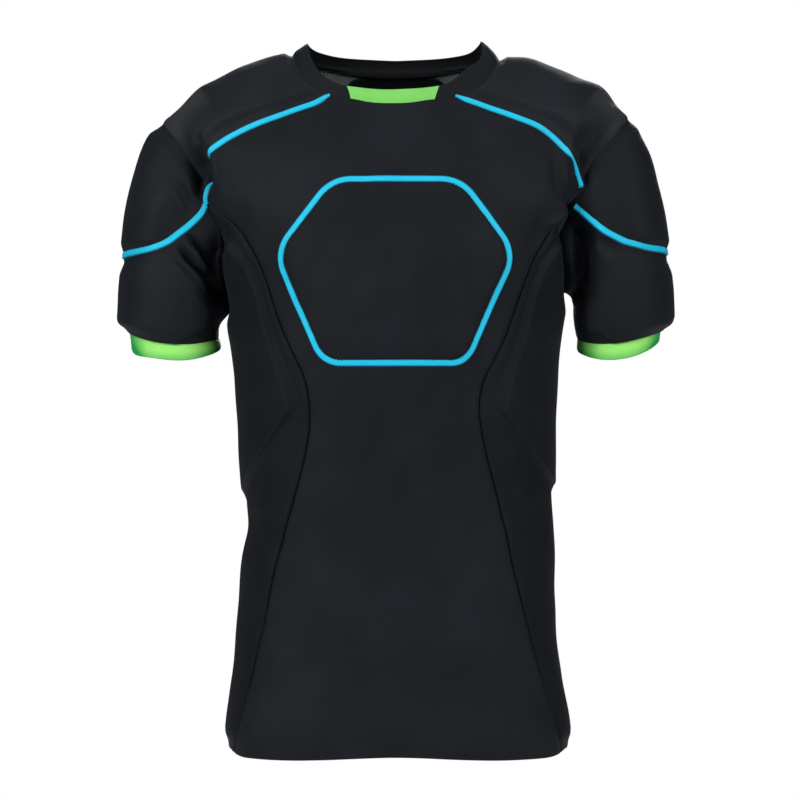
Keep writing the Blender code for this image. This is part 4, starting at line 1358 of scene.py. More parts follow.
def grid_mesh(name: str, points: Array, outward: Array, flat: Array,
              closed: bool = False, tone: Array | None = None) -> bpy.types.Mesh:
    """Mesh of a grid of points, its faces outward and its flat places as UV.

    Args:
        name: Name of the mesh.
        points: Rows and columns of points, in millimetres.
        outward: Outward direction at each point.
        flat: Place of each point on the flat cloth, in millimetres.
        closed: True if the last column lies on the first.
        tone: Share of the finish's shade colour at each point.

    Returns:
        The mesh, in metres.
    """
    rows, columns = points.shape[:2]
    sheet = bmesh.new()
    bmesh.ops.create_grid(sheet, x_segments=columns - 1, y_segments=rows - 1, size=1.0)
    mesh = bpy.data.meshes.new(name)
    sheet.to_mesh(mesh)
    sheet.free()
    mesh.vertices.foreach_set("co", (points * MM).ravel())
    corners = np.empty(len(mesh.loops), dtype=np.int32)
    mesh.loops.foreach_get("vertex_index", corners)
    mesh.uv_layers.new(name=FLAT).uv.foreach_set("vector", (flat.reshape(-1, 2)[corners] * MM).ravel())
    if tone is not None:
        mesh.attributes.new(TONE, "FLOAT", "POINT").data.foreach_set("value", tone.ravel())
    sheet = bmesh.new()
    sheet.from_mesh(mesh)
    sheet.normal_update()
    sheet.faces.ensure_lookup_table()
    middle = (rows - 1) // 2 * (columns - 1) + (columns - 1) // 2
    wanted = outward[(rows - 1) // 2, (columns - 1) // 2]
    if np.dot(np.array(sheet.faces[middle].normal), wanted) < 0:
        bmesh.ops.reverse_faces(sheet, faces=sheet.faces[:])
    if closed:
        bmesh.ops.remove_doubles(sheet, verts=sheet.verts[:], dist=WELD)
    sheet.to_mesh(mesh)
    sheet.free()
    mesh.shade_smooth()
    return mesh


@dataclass
class SeamRelief:
    """How cloth draws in at a sewn edge, in millimetres."""

    dip: float = 2.2
    width: float = 1.8
    swell: float = 0.35
    swell_at: float = 7.0
    swell_reach: float = 4.0
    pucker: float = 0.22
    pucker_length: float = 9.0
    pucker_at: float = 4.0
    pucker_reach: float = 6.0
    pucker_drift: Pair = (2.3, 31.0)
    pucker_fade: Pair = (0.4, 47.0)
    hem_fall: float = 0.5
    hem_round: float = 1.2
    bound_reach: float = 30.0

    def height_at(self, lay: Lay) -> Array:
        """Height that the sewn and hemmed edges give the cloth.

        Args:
            lay: The laid cloth.

        Returns:
            Heights at its points.
        """
        total = np.zeros(lay.points.shape[:-1])
        if lay.sewn:
            distance, along = self.nearest(lay, lay.sewn)
            total -= self.dip * np.exp(-(distance / self.width) ** 2)
            total += self.swell * np.exp(-((distance - self.swell_at) / self.swell_reach) ** 2)
            drift, drift_length = self.pucker_drift
            fade, fade_length = self.pucker_fade
            phase = 2 * np.pi * along / self.pucker_length + drift * np.sin(along / drift_length)
            near = np.exp(-((distance - self.pucker_at) / self.pucker_reach) ** 2)
            total += self.pucker * np.sin(phase) * (1 - fade + fade * np.sin(along / fade_length)) * near
        if lay.bound:
            distance, _ = self.nearest(lay, lay.bound)
            total *= rise(distance, 0.0, self.bound_reach)
        if lay.hemmed:
            distance, _ = self.nearest(lay, lay.hemmed)
            total -= self.hem_fall * (1 - rise(distance, 0.0, self.hem_round))
        return total

    @staticmethod
    def nearest(lay: Lay, edges: tuple[Edge, ...]) -> tuple[Array, Array]:
        """Distance from each point to some edges, and where along them the nearest place lies.

        Args:
            lay: The laid cloth.
            edges: The edges.

        Returns:
            The distances, and the lengths along the edges.
        """
        lines = [lay.line(edge) for edge in edges]
        tree = KDTree(sum(len(line) for line in lines))
        lengths = np.concatenate([lengths_along(line) for line in lines])
        for index, point in enumerate(np.concatenate(lines)):
            tree.insert(point, index)
        tree.balance()
        found = [tree.find(point)[1:] for point in lay.points.reshape(-1, 3)]
        index, distance = np.array(found).T
        shape = lay.points.shape[:-1]
        return distance.reshape(shape), lengths[index.astype(int)].reshape(shape)


SEWING = SeamRelief()


@dataclass
class ClothPiece:
    """One cloth panel: its laid form, finish and thickness, and the solid that it stands for."""

    name: str
    slot: str
    finish: ClothFinish
    lay: Lay
    lining: ClothFinish = LINING_PLAIN
    thickness: float = 1.6
    stands_in: bool = True
    worn: Lay | None = None
    made: bpy.types.Object | None = None

    def build(self) -> None:
        """Shape the cloth and give it its thickness."""
        lay = self.lay
        height = lay.facing * CREASES.height_at(lay.points) + SEWING.height_at(lay) + lay.pad
        points = STANCE.moved(lay.points + height[..., None] * lay.outward)
        self.worn = replace(lay, points=points, pad=0.0)
        mesh = grid_mesh(self.name, points, lay.outward, lay.flat(), lay.closed, lay.tone)
        piece = new_piece(self.name, mesh, (self.finish, self.lining), self.stands_in)
        wall = piece.modifiers.new("cloth", "SOLIDIFY")
        wall.thickness = self.thickness * MM
        wall.offset = -1.0
        wall.material_offset = 1
        self.made = piece

    def declare(self, trims: list[bpy.types.Object]) -> None:
        """Args:
            trims: The pieces sewn on it; not used.
        """
        flat = self.lay.flat()
        width, length = np.ptp(flat[..., 0]) * MM, np.ptp(flat[..., 1]) * MM
        area = min(self.lay.area() * MM * MM, width * length)
        LOG.info("%s: cloth of %.3f x %.3f m, %.4f square metres", self.name, width, length, area)


@dataclass
class ClothWork:
    """Sub-assembly of cloth pieces, kept by name."""

    pieces: dict[str, ClothPiece] = field(default_factory=dict)

    def sew(self, name: str, *details: object, **more: object) -> None:
        """Make one cloth piece from the details that ClothPiece lists, and keep it."""
        self.pieces[name] = ClothPiece(name, *details, **more)
        self.pieces[name].build()


@dataclass
class BodyPanels(ClothWork):
    """Front and back panels from hem to neck, and the side panels with their rib pads."""

    columns: int = 100
    side_rows: int = 130
    yoke_rows: int = 60
    flank_columns: int = 60
    flank_rows: tuple[int, int] = (60, 64)
    rib_height: float = 5.0
    rib_welt: float = 0.7
    rib_welt_at: Pair = (0.8, 0.15)
    rib_rows: Run = (0.0, 0.03, 0.83, 0.95)
    rib_soft: float = 0.04
    rib_soft_power: int = 6
    rib_columns: Run = (0.055, 0.09, 0.91, 0.945)

    def build(self) -> None:
        """Build all four panels."""
        for face, name in ((Face.FRONT, "front_panel"), (Face.BACK, "back_panel")):
            self.sew(name, "body_cloth", BODY_JERSEY, self.panel(face), LINING_MESH)
        flank = self.flank()
        for hand in Hand:
            self.sew("side_panel_" + hand.word, "side_cloth", SIDE_MESH, flank.on(hand))

    def panel(self, face: Face) -> Lay:
        """Cloth of the front or back panel.

        Args:
            face: Front or back.

        Returns:
            The laid cloth.
        """
        side = resample(SEAMS.side[face], eased(self.side_rows))
        yoke = resample(SEAMS.yoke[face], eased(self.yoke_rows))
        right = np.concatenate((side, yoke[-2::-1]))
        left = mirrored(right, Hand.LEFT)
        shares = eased(self.columns)
        bottom = SEAMS.hem_line(face, shares)
        bottom[0], bottom[-1] = left[0], right[0]
        end = SEAMS.neck_end[face]
        ends = (-end, end) if face is Face.FRONT else (360 - end, end)
        angles = ends[0] + shares * (ends[1] - ends[0])
        top = NECK.seam(angles)
        top[0], top[-1] = left[-1], right[-1]
        grid = patch(bottom, top, left, right, on_body=True)
        outward = BODY.outward(grid)
        outward[-1] = mitre(outward[-1], NECK.outward(angles))
        return Lay(grid, outward, 0.0, (Edge.LEFT, Edge.RIGHT), (Edge.BOTTOM,), (Edge.TOP,))

    def flank(self) -> Lay:
        """Cloth of the right side panel, with the rib pad raised in it.

        Returns:
            The laid cloth.
        """
        shares = eased(self.flank_columns)
        middle = SEAMS.rib_line(shares)
        angles = ARM_TIP + shares * (360 - 2 * ARM_TIP)
        low, high = self.flank_rows
        lower, upper = {}, {}
        for face in Face:
            turn = SEAMS.rib_turn(face)
            lower[face] = resample(SEAMS.side[face][:turn + 1], eased(low))
            upper[face] = resample(SEAMS.side[face][turn:], eased(high))
        under = patch(SEAMS.side_hem(shares), middle, lower[Face.FRONT], lower[Face.BACK], on_body=True)
        over = patch(middle, ARM.armhole(angles), upper[Face.FRONT], upper[Face.BACK], on_body=True)
        grid = np.concatenate((under, over[1:]))
        outward = BODY.outward(grid)
        outward[-1] = ARM.arm_mitre(angles)
        rows = np.concatenate((np.zeros(low), eased(high)))[:, None]
        start, full, fall, end = self.rib_rows
        full = full + self.rib_soft * np.sin(np.pi * shares) ** self.rib_soft_power
        share = plateau(rows, (start, full, fall, end)) * plateau(shares, self.rib_columns)
        place, reach = self.rib_welt_at
        pad = self.rib_height * share + self.rib_welt * np.exp(-((share - place) / reach) ** 2)
        return Lay(grid, outward, pad, (Edge.LEFT, Edge.RIGHT), (Edge.BOTTOM,))


@dataclass
class Shoulders(ClothWork):
    """Shoulder yokes with their pads, and the padded caps of the sleeves."""

    rows: int = 110
    columns: int = 70
    cap_rows: int = 70
    pad_height: float = 6.0
    yoke_rows: Run = (0.05, 0.11, 0.89, 0.95)
    yoke_head: Pair = (0.0, 0.05)
    yoke_fall: Pair = (0.60, 0.88)
    # Rows of the painted highlight on the strip by the armhole
    highlight_rows: Run = (0.16, 0.36, 0.64, 0.84)
    strip: Pair = (0.80, 1.0)
    # Edge of the painted highlight across the yoke, beside the pad's fall
    highlight_edge: Pair = (-0.01, 0.03)
    cap_columns: Run = (0.0, 0.16, 0.93, 1.0)
    cap_rows_pad: Run = (0.0, 0.16, 0.84, 1.0)

    def build(self) -> None:
        """Build both yokes and both caps."""
        yoke, cap = self.yoke(), self.cap()
        for hand in Hand:
            self.sew("shoulder_yoke_" + hand.word, "pad_cloth", PAD_JERSEY, yoke.on(hand), LINING_MESH)
            self.sew("upper_sleeve_" + hand.word, "sleeve_cloth", SLEEVE_JERSEY, cap.on(hand))

    def arm_angles(self) -> Array:
        """Angles round the top of the armhole, from the front tip to the back one."""
        return ARM_TIP * (1 - 2 * eased(self.rows))

    def arm_shares(self) -> Array:
        """Shares of the armhole's top at those angles."""
        lengths = lengths_along(ARM.armhole(self.arm_angles()))
        return lengths / lengths[-1]

    def yoke(self) -> Lay:
        """Cloth of the right shoulder yoke, with the shoulder pad raised in it.

        Returns:
            The laid cloth.
        """
        columns = eased(self.columns)
        front, back = (resample(SEAMS.yoke[face], columns) for face in Face)
        angles, shares = self.arm_angles(), self.arm_shares()
        fine = np.linspace(SEAMS.neck_end[Face.FRONT], SEAMS.neck_end[Face.BACK], FINE_STEPS)
        lengths = lengths_along(NECK.seam(fine))
        neck_angles = np.interp(shares, lengths / lengths[-1], fine)
        grid = patch(front, back, NECK.seam(neck_angles), ARM.armhole(angles), on_body=True)
        outward = BODY.outward(grid)
        outward[:, 0] = mitre(outward[:, 0], NECK.outward(neck_angles))
        outward[:, -1] = ARM.arm_mitre(angles)
        across = rise(columns, *self.yoke_head) * np.interp(columns, self.yoke_fall, (1.0, 0.0))
        pad = self.pad_height * plateau(shares, self.yoke_rows)[:, None] * across[None, :]
        pad = pad + SEAMS.arm_lift(angles)[:, None] * rise(columns, *self.strip)[None, :]
        # Painted highlight: the strip between the shoulder pad and the armhole is paler, where it faces the
        # light
        painted_highlight = rise(columns, *(self.yoke_fall[0] + shift for shift in self.highlight_edge))
        tone = plateau(shares, self.highlight_rows)[:, None] * painted_highlight[None, :]
        return Lay(grid, outward, pad, (Edge.BOTTOM, Edge.TOP), bound=(Edge.LEFT,), tone=tone)

    def cap(self) -> Lay:
        """Cloth of the right sleeve cap, with the deltoid pad raised in it.

        Returns:
            The laid cloth.
        """
        angles, shares = self.arm_angles(), self.arm_shares()
        scale = np.array((SLEEVE_SPAN, 1.0))
        head = np.stack((np.zeros_like(angles), angles), axis=-1)
        foot = SEAMS.cap_places(CAP_CORNER + (1 - 2 * CAP_CORNER) * shares)
        rows = eased(self.cap_rows)
        front = SEAMS.cap_places(CAP_CORNER * rows)
        back = SEAMS.cap_places(1 - CAP_CORNER * rows)
        places = patch(head * scale, foot * scale, front * scale, back * scale) / scale
        s, turn = np.moveaxis(places, -1, 0)
        outward = ARM.outward(s, turn)
        outward[0] = ARM.arm_mitre(angles)
        full = plateau(rows, self.cap_columns)[:, None] * plateau(shares, self.cap_rows_pad)[None, :]
        seam = (1 - rows)[:, None] * SEAMS.arm_lift(angles)[None, :]
        seam = seam + rows[:, None] * self.foot_lift(shares)[None, :]
        return Lay(ARM.point(s, turn), outward, seam + (self.pad_height - seam) * full, ())

    @staticmethod
    def foot_lift(shares: Array) -> Array:
        """Height of the cap seam at shares of the cap's lower edge."""
        at = CAP_CORNER + (1 - 2 * CAP_CORNER) * shares
        return np.interp(at, np.linspace(0, 1, FINE_STEPS), SEAMS.cap_lift(FINE_STEPS))


@dataclass
class Sleeves(ClothWork):
    """Sleeve tubes below the cap seam with their bicep pads, and the elastic cuffs."""

    rows: int = 64
    cap_columns: int = 150
    under_columns: int = 76
    pad_height: float = 6.0
    pad_rows: Pair = (0.42, 0.56)
    pad_edge: Pair = (139.0, 7.0)
    pad_corner: Triple = (34.0, 0.72, 1.0)
    pad_corner_power: float = 1.5
    pad_head: Pair = (1.0, 24.0)
    pad_foot: Pair = (16.0, -3.0)
    foot_left: float = 0.3
    seam_reach: float = 22.0
    cuff_rows: int = 18
    cuff_thickness: float = 1.4
    cuff_start: float = 0.985
    cuff_middle: float = 1.08
    cuff_inset: float = 1.0
    cuff_sag: float = 4.0
    # Painted shade of the cuff: toward its outer and inner sides, and along its bottom edge
    cuff_shade_ends: Pair = (0.5, 0.97)
    cuff_edge_shade: float = 0.55
    cuff_edge_start: float = 1.06
    cuff_inner_shade: float = 0.5

    def build(self) -> None:
        """Build both tubes and both cuffs."""
        tube, cuff = self.tube(), self.cuff()
        for hand in Hand:
            self.sew("lower_sleeve_" + hand.word, "sleeve_cloth", SLEEVE_JERSEY, tube.on(hand))
            self.sew("cuff_" + hand.word, "green_elastic", CUFF_ELASTIC, cuff.on(hand), CUFF_ELASTIC,
                     self.cuff_thickness)

    def around(self) -> tuple[Array, Array, Array]:
        """Columns round the sleeve.

        Returns:
            Sleeve shares and angles at the top of the tube, and the angles at its foot.
        """
        shares = np.linspace(0, 1, self.cap_columns + 1)
        top = SEAMS.cap_places(shares)
        under = -ARM_TIP - np.linspace(0, 1, self.under_columns + 1)[1:] * (360 - 2 * ARM_TIP)
        fan = (under + 180) * (180 - CUFF_FAN) / (180 - ARM_TIP) - 180
        start = np.concatenate((top[:, 0], np.zeros_like(under)))
        angles = np.concatenate((top[:, 1], under))
        return start, angles, np.concatenate((CUFF_FAN * (1 - 2 * shares), fan))

    def tube(self) -> Lay:
        """Cloth of the right sleeve tube, with the bicep pad raised in it.

        Returns:
            The laid cloth.
        """
        start, top_angles, foot_angles = self.around()
        share = eased(self.rows)[:, None]
        s = start + share * (1 - start)
        angles = top_angles + share * (foot_angles - top_angles)
        points = ARM.point(s, angles)
        outward = ARM.outward(s, angles)
        on_arm = (start <= 0)[:, None]
        outward[0] = np.where(on_arm, ARM.arm_mitre(top_angles), outward[0])
        down = lengths_along(points, axis=0)
        edge, width = self.pad_edge
        edge = edge - self.pad_corner[0] * rise(s, *self.pad_corner[1:]) ** self.pad_corner_power
        inside = 1 - rise((turned_off(angles) - edge) / width, -1.0, 0.0)
        pad = self.pad_height * rise(s, *self.pad_rows) * inside
        taper = self.pad_foot[0] + self.pad_foot[1] * np.cos(np.radians(angles)) ** 2
        left = (1 - self.foot_left) * rise((down[-1] - down) / taper, 0.0, 1.0) + self.foot_left
        pad = pad * rise(down, *self.pad_head) * left
        lift = np.concatenate((SEAMS.cap_lift(self.cap_columns + 1), np.zeros(self.under_columns)))
        pad = np.maximum(pad, lift * (1 - rise(down, 0.0, self.seam_reach)))
        return Lay(points, outward, pad, (), (Edge.TOP,), closed=True)

    def cuff(self) -> Lay:
        """Elastic of the right cuff, its top tucked under the sleeve.

        Returns:
            The laid cloth.
        """
        foot_angles = self.around()[2]
        s = np.linspace(self.cuff_start, CUFF_END, self.cuff_rows + 1)[:, None]
        angles = np.broadcast_to(foot_angles, (len(s), len(foot_angles)))
        outward = ARM.outward(np.full(len(foot_angles), self.cuff_middle), foot_angles)
        outward = np.broadcast_to(outward, (*angles.shape, 3))
        points = ARM.point(np.broadcast_to(s, angles.shape), angles) - self.cuff_inset * outward
        outer = np.cos(np.radians(angles))
        points[..., 2] += self.cuff_sag * outer ** 2 * rise(s, 1.0, CUFF_END)
        # Painted shade: dark emerald toward the cuff's outer and inner sides, where it turns from the light,
        # and darker along its bottom edge
        edge = self.cuff_edge_shade * rise(s, self.cuff_edge_start, CUFF_END)
        tone = np.clip(rise(outer, *self.cuff_shade_ends) + edge, 0, 1)
        tone = np.clip(tone + self.cuff_inner_shade * rise(-outer, *self.cuff_shade_ends), 0, 1)
        return Lay(points, outward.copy(), 0.0, (), (Edge.BOTTOM, Edge.TOP), closed=True, tone=tone)


@dataclass
class NeckBand(ClothWork):
    """Standing collar, open at the front centre, and the elastic tab that closes it."""

    rows: int = 16
    columns: int = 220
    tab_columns: int = 60
    tab_apart: float = 0.25
    gap: float = -0.3
    tape: tuple[float, ...] = (4.0, 2.0)
    tape_inset: float = 3.0
    tape_ends: Pair = (10.0, 75.0)
    tape_side: float = 0.2
    tape_spread: float = 0.4
    thickness: float = 1.2
    tab_thickness: float = 1.8
    # Rows of the painted shadow along the collar's foot
    seam_shadow_rows: float = 2.5
    swell: tuple[Pair, ...] = ((0, 0), (0.35, 1.2), (0.7, 1.0), (1, 0))
    tab_lift: float = 0.3

    def build(self) -> None:
        """Build the collar and the tab."""
        foot = NECK.angle_at(TAB_HALF_BOTTOM, NECK_HALF_WIDTH, Face.FRONT)
        head = NECK.angle_at(TAB_HALF_TOP, COLLAR_HALF_WIDTH, Face.FRONT)
        apart = self.tab_apart
        collar = self.band((foot + apart, 360 - foot - apart), (head + apart, 360 - head - apart),
                           self.columns)
        tab = self.band((apart - foot, foot - apart), (apart - head, head - apart), self.tab_columns)
        tab.points += self.tab_lift * tab.outward
        self.sew("collar", "collar_cloth", COLLAR_RIB, collar, COLLAR_SHADED_INSIDE, self.thickness)
        self.sew("neck_tab", "green_elastic", GREEN_ELASTIC, tab, GREEN_ELASTIC, self.tab_thickness)

    def band(self, low: Pair, high: Pair, columns: int) -> Lay:
        """Cloth of a stretch of the band.

        Args:
            low: Angles round the neck at the two ends of its foot.
            high: Angles at the two ends of its top edge.
            columns: Number of columns.

        Returns:
            The laid cloth.
        """
        across = np.linspace(0, 1, columns + 1)
        low_angles = low[0] + across * (low[1] - low[0])
        foot = NECK.seam(low_angles)
        head = NECK.rim(high[0] + across * (high[1] - high[0]))
        foot = foot + self.gap * unit(head - foot)
        shares = eased(self.rows)
        table = np.array(self.swell, float)
        bulge = read_table(table[:, 0], table[:, 1], shares)
        outward = NECK.outward(low_angles)
        points = foot + shares[:, None, None] * (head - foot) + bulge[:, None, None] * outward
        body = BODY.outward(foot)
        below = unit(np.cross(np.gradient(foot, axis=0), body))
        aside = np.abs(foot[:, :1])
        behind = 1 - (1 - self.tape_side) * rise(aside, *self.tape_ends)
        inset = self.tape_inset * (1 - self.tape_spread + self.tape_spread * behind)
        tape = [foot + depth * behind * below - inset * body for depth in self.tape]
        points = np.concatenate((tape, points))
        # Painted shadow: the tape and the lowest rows of the collar darken into a shadow line along the neck
        # seam
        above = np.arange(len(points)) - len(tape)
        tone = np.broadcast_to(np.clip(1 - above / self.seam_shadow_rows, 0, 1)[:, None], points.shape[:2]).copy()
        return Lay(points, np.broadcast_to(outward, points.shape).copy(), 0.0, (), (Edge.TOP,), tone=tone)


def thread_mesh(name: str, strands: list[Array], radius: float) -> bpy.types.Mesh:
    """Round threads along lines, as one mesh.

    Args:
        name: Name of the mesh.
        strands: Points of each thread, in millimetres.
        radius: Half the thread's thickness, in millimetres.

    Returns:
        The mesh, in metres.
    """
    curve = bpy.data.curves.new(name, "CURVE")
    curve.dimensions = "3D"
    curve.bevel_depth = radius * MM
    curve.bevel_resolution = 0
    curve.use_fill_caps = True
    for strand in strands:
        spline = curve.splines.new("POLY")
        spline.points.add(len(strand) - 1)
        places = np.concatenate((strand * MM, np.ones((len(strand), 1))), axis=1)
        spline.points.foreach_set("co", places.ravel())
    holder = in_scene(name, curve)
    graph = bpy.context.evaluated_depsgraph_get()
    mesh = bpy.data.meshes.new_from_object(holder.evaluated_get(graph))
    bpy.data.objects.remove(holder)
    bpy.data.curves.remove(curve)
    mesh.materials.clear()
    for layer in mesh.uv_layers:
        layer.name = FLAT
    mesh.shade_smooth()
    return mesh


def joined(name: str, meshes: list[bpy.types.Mesh]) -> bpy.types.Mesh:
    """One mesh of several, each with the material slot of its place in the list.

    Args:
        name: Name of the mesh.
        meshes: The meshes, in the order of their slots.

    Returns:
        The joined mesh.
    """
    whole = bmesh.new()
    for slot, mesh in enumerate(meshes):
        mesh.polygons.foreach_set("material_index", np.full(len(mesh.polygons), slot, dtype=np.int32))
        whole.from_mesh(mesh)
    mesh = bpy.data.meshes.new(name)
    whole.to_mesh(mesh)
    whole.free()
    return mesh


@dataclass
class FlatSeam:
    """Flat cyan seam along a line: a band with dark blue brims, needle threads and a crossing thread."""

    width: float = 8.4
    border: float = 0.76
    crown_share: float = 0.8
    crown_power: int = 4
    lift: float = 0.6
    thick: float = 1.3
    brim_fall: float = 0.7
    brim_power: int = 12
    columns: int = 10
    step: float = 1.6
    needles: tuple[float, ...] = (-0.46, 0.0, 0.46)
    needle_radius: float = 0.32
    needle_sink: float = 0.05
    needle_wave: float = 0.10
    needle_phase: float = 3.0
    stitch: float = 2.4
    cross_radius: float = 0.24
    cross_pitch: float = 1.5
    cross_swing: float = 0.64
    cross_sink: float = 0.32

    def build(self, name: str, middle: Array, across: Array, outward: Array,
              closed: bool = False, widths: Array | float = 1.0) -> None:
        """Make one seam.

        Args:
            name: Name of the piece and of the solid it stands for.
            middle: Points of its middle line on the cloth.
            across: Directions across it, along the cloth.
            outward: Outward directions.
            closed: True if the line is a loop, its last point on its first.
            widths: Share of the full width at each point.
        """
        across = across * np.broadcast_to(widths, len(middle))[:, None]
        offsets = np.linspace(-1, 1, self.columns + 1)
        edge = self.width / 2
        crown = np.clip(1 - np.abs(offsets / self.crown_share) ** self.crown_power, 0, 1)
        crown = self.thick * np.sqrt(crown) + self.lift - self.brim_fall * np.abs(offsets) ** self.brim_power
        points = (middle[:, None] + offsets[None, :, None] * edge * across[:, None]
                  + crown[None, :, None] * outward[:, None])
        along = lengths_along(middle)
        flat = np.stack(np.broadcast_arrays(offsets * edge, along[:, None]), axis=-1)
        spread = np.broadcast_to(outward[:, None], points.shape)
        border = np.where(np.abs(offsets) > self.border, 1.0, 0.0)
        band = grid_mesh(name + "_band", points, spread, flat, closed,
                         np.broadcast_to(border, points.shape[:2]))
        top = self.lift + self.thick
        strands = []
        for offset in self.needles:
            wave = self.needle_wave * np.cos(2 * np.pi * along / self.stitch + self.needle_phase * offset)
            height = top - self.needle_sink + wave
            strands.append(middle + offset * edge * across + height[:, None] * outward)
        needles = thread_mesh(name + "_needles", strands, self.needle_radius)
        strands = [self.zigzag(middle, across, outward, top - self.cross_sink)]
        crossing = thread_mesh(name + "_cross", strands, self.cross_radius)
        new_piece(name, joined(name, [band, needles, crossing]), (CYAN_THREAD,) * 3)
        LOG.info("%s: flat seam %.0f mm long", name, along[-1])

    def zigzag(self, middle: Array, across: Array, outward: Array, height: float) -> Array:
        """Crossing thread that runs from side to side along the seam.

        Args:
            middle: Points of the seam's middle line.
            across: Directions across it.
            outward: Outward directions.
            height: Height of the thread above the line.

        Returns:
            The points of the thread.
        """
        count = max(int(lengths_along(middle)[-1] / self.cross_pitch), 2) * 2
        shares = np.linspace(0, 1, count + 1)
        centre, side, up = (resample(middle, shares, values) for values in (middle, across, outward))
        swing = np.where(np.arange(count + 1) % 2 == 0, -1.0, 1.0)[:, None]
        return centre + swing * self.cross_swing * self.width / 2 * side + height * up


@dataclass
class FramedPads:
    """Six-sided chest and back pads under the cloth, each framed by a flat seam."""

    rows: int = 90
    columns: int = 90
    inset: float = 3.0
    lift: float = 0.8
    rim: float = 0.9
    rim_width: float = 4.0
    crown: float = 3.6
    round_over: float = 30.0
    thickness: float = 1.4
    fill: float = 0.7
    edge_step: int = 4
    corner_steps: int = 40
    pad_corners: tuple[int, int] = (70, 330)
    seam: FlatSeam = field(default_factory=FlatSeam)

    def build(self) -> None:
        """Build both pads and their frames."""
        for face, stem in ((Face.FRONT, "chest"), (Face.BACK, "back")):
            half = resample(self.rounded_half(PAD_OUTLINE[face]), np.linspace(0, 1, FINE_STEPS))
            self.pad(stem + "_pad", half, face)
            self.frame(stem + "_band", half, face)

    def rounded_half(self, corners: tuple[Triple, ...]) -> Array:
        """Half an outline with round corners, from the top centre line to the bottom one, in x and z.

        Args:
            corners: Place in x and z, and radius, of each corner.

        Returns:
            Points of the half.
        """
        ends = [np.array((0.0, corner[1])) for corner in (corners[0], corners[-1])]
        knots = [ends[0], *[np.array(corner[:2], float) for corner in corners], ends[1]]
        points = [ends[0]]
        for index, corner in enumerate(corners):
            before, here, after = knots[index:index + 3]
            back, ahead = unit(before - here), unit(after - here)
            half = math.acos(float(np.clip(back @ ahead, -1, 1))) / 2
            centre = here + unit(back + ahead) * corner[2] / math.sin(half)
            first = here + back * corner[2] / math.tan(half) - centre
            for turn in np.linspace(0, 2 * half - math.pi, self.corner_steps + 1):
                points.append(centre + np.array((first[0] * math.cos(turn) - first[1] * math.sin(turn),
                                                 first[0] * math.sin(turn) + first[1] * math.cos(turn))))
        return np.array([*points, ends[1]])

    def pad(self, name: str, half: Array, face: Face) -> None:
        """Crowned pad inside an outline.

        Args:
            name: Name of the piece.
            half: Half the outline, in x and z.
            face: Front or back.
        """
        centre = np.array((0.0, (half[0, 1] + half[-1, 1]) / 2))
        shrink = 1 - self.inset / np.linalg.norm(half - centre, axis=1, keepdims=True)
        edge = centre + (half - centre) * shrink
        place = outline_patch(edge, self.pad_corners, self.rows, self.columns)
        folded = place * np.array((0, 1)) + np.abs(place) * np.array((1, 0))
        near = edge[::self.edge_step]
        distance = np.min(np.linalg.norm(folded[..., None, :] - near, axis=-1), axis=-1)
        depth = np.minimum(distance / self.round_over, 1)
        height = self.lift + self.rim * rise(distance, 0, self.rim_width)
        height = height + self.crown * np.sqrt(1 - (1 - depth) ** 2)
        grid = BODY.on_face(place[..., 0], place[..., 1], face)
        outward = BODY.outward(grid)
        height = height + CREASES.height_at(grid)
        lay = Lay(grid, outward)
        mesh = grid_mesh(name, STANCE.moved(grid + height[..., None] * outward), outward, lay.flat())
        piece = new_piece(name, mesh, (BODY_JERSEY,))
        wall = piece.modifiers.new("foam", "SOLIDIFY")
        wall.thickness = self.thickness * MM
        wall.offset = -1.0
        LOG.info("%s: foam pad of %.4f square metres", name, lay.area() * MM * MM)

    def frame(self, name: str, half: Array, face: Face) -> None:
        """Flat seam round an outline.

        Args:
            name: Name of the piece.
            half: Half the outline, in x and z.
            face: Front or back.
        """
        loop = np.concatenate((half, (half * np.array((-1, 1)))[-2::-1]))
        count = int(lengths_along(loop)[-1] / self.seam.step)
        line = resample(loop, np.linspace(0, 1, count + 1))
        middle = BODY.on_face(line[:, 0], line[:, 1], face)
        outward = BODY.outward(middle)
        ahead = np.roll(middle[:-1], -1, axis=0) - np.roll(middle[:-1], 1, axis=0)
        ahead = unit(np.concatenate((ahead, ahead[:1])))
        middle = STANCE.moved(middle + CREASES.height_at(middle)[:, None] * outward)
        self.seam.build(name, middle, unit(np.cross(outward, ahead)), outward, closed=True)


@dataclass
class PadPocket(ClothWork):
    """Dark pocket over the back pad on the inside, whose stitched top shows through the neck."""

    rows: int = 60
    columns: int = 56
    inset: float = 2.6
    corners: tuple[int, int] = (64, 340)
    thickness: float = 0.6
    outline: tuple[Pair, ...] = (
        (0, -10.2), (24, -10.4), (38, -11.3), (47, -14.5), (52, -22), (66, -48),
        (96, -104), (100, -138), (66, -226), (56, -238), (0, -240))

    def build(self) -> None:
        """Build the pocket, its face turned to the wearer."""
        half = resample(through(np.array(self.outline, float)), np.linspace(0, 1, FINE_STEPS))
        place = outline_patch(half, self.corners, self.rows, self.columns)
        grid = BODY.on_face(place[..., 0], place[..., 1], Face.BACK)
        outward = BODY.outward(grid)
        lay = Lay(grid - self.inset * outward, -outward, 0.0, (), tuple(Edge), facing=-1)
        self.sew("pad_pocket", "body_cloth", LINING_PLAIN, lay, thickness=self.thickness, stands_in=False)


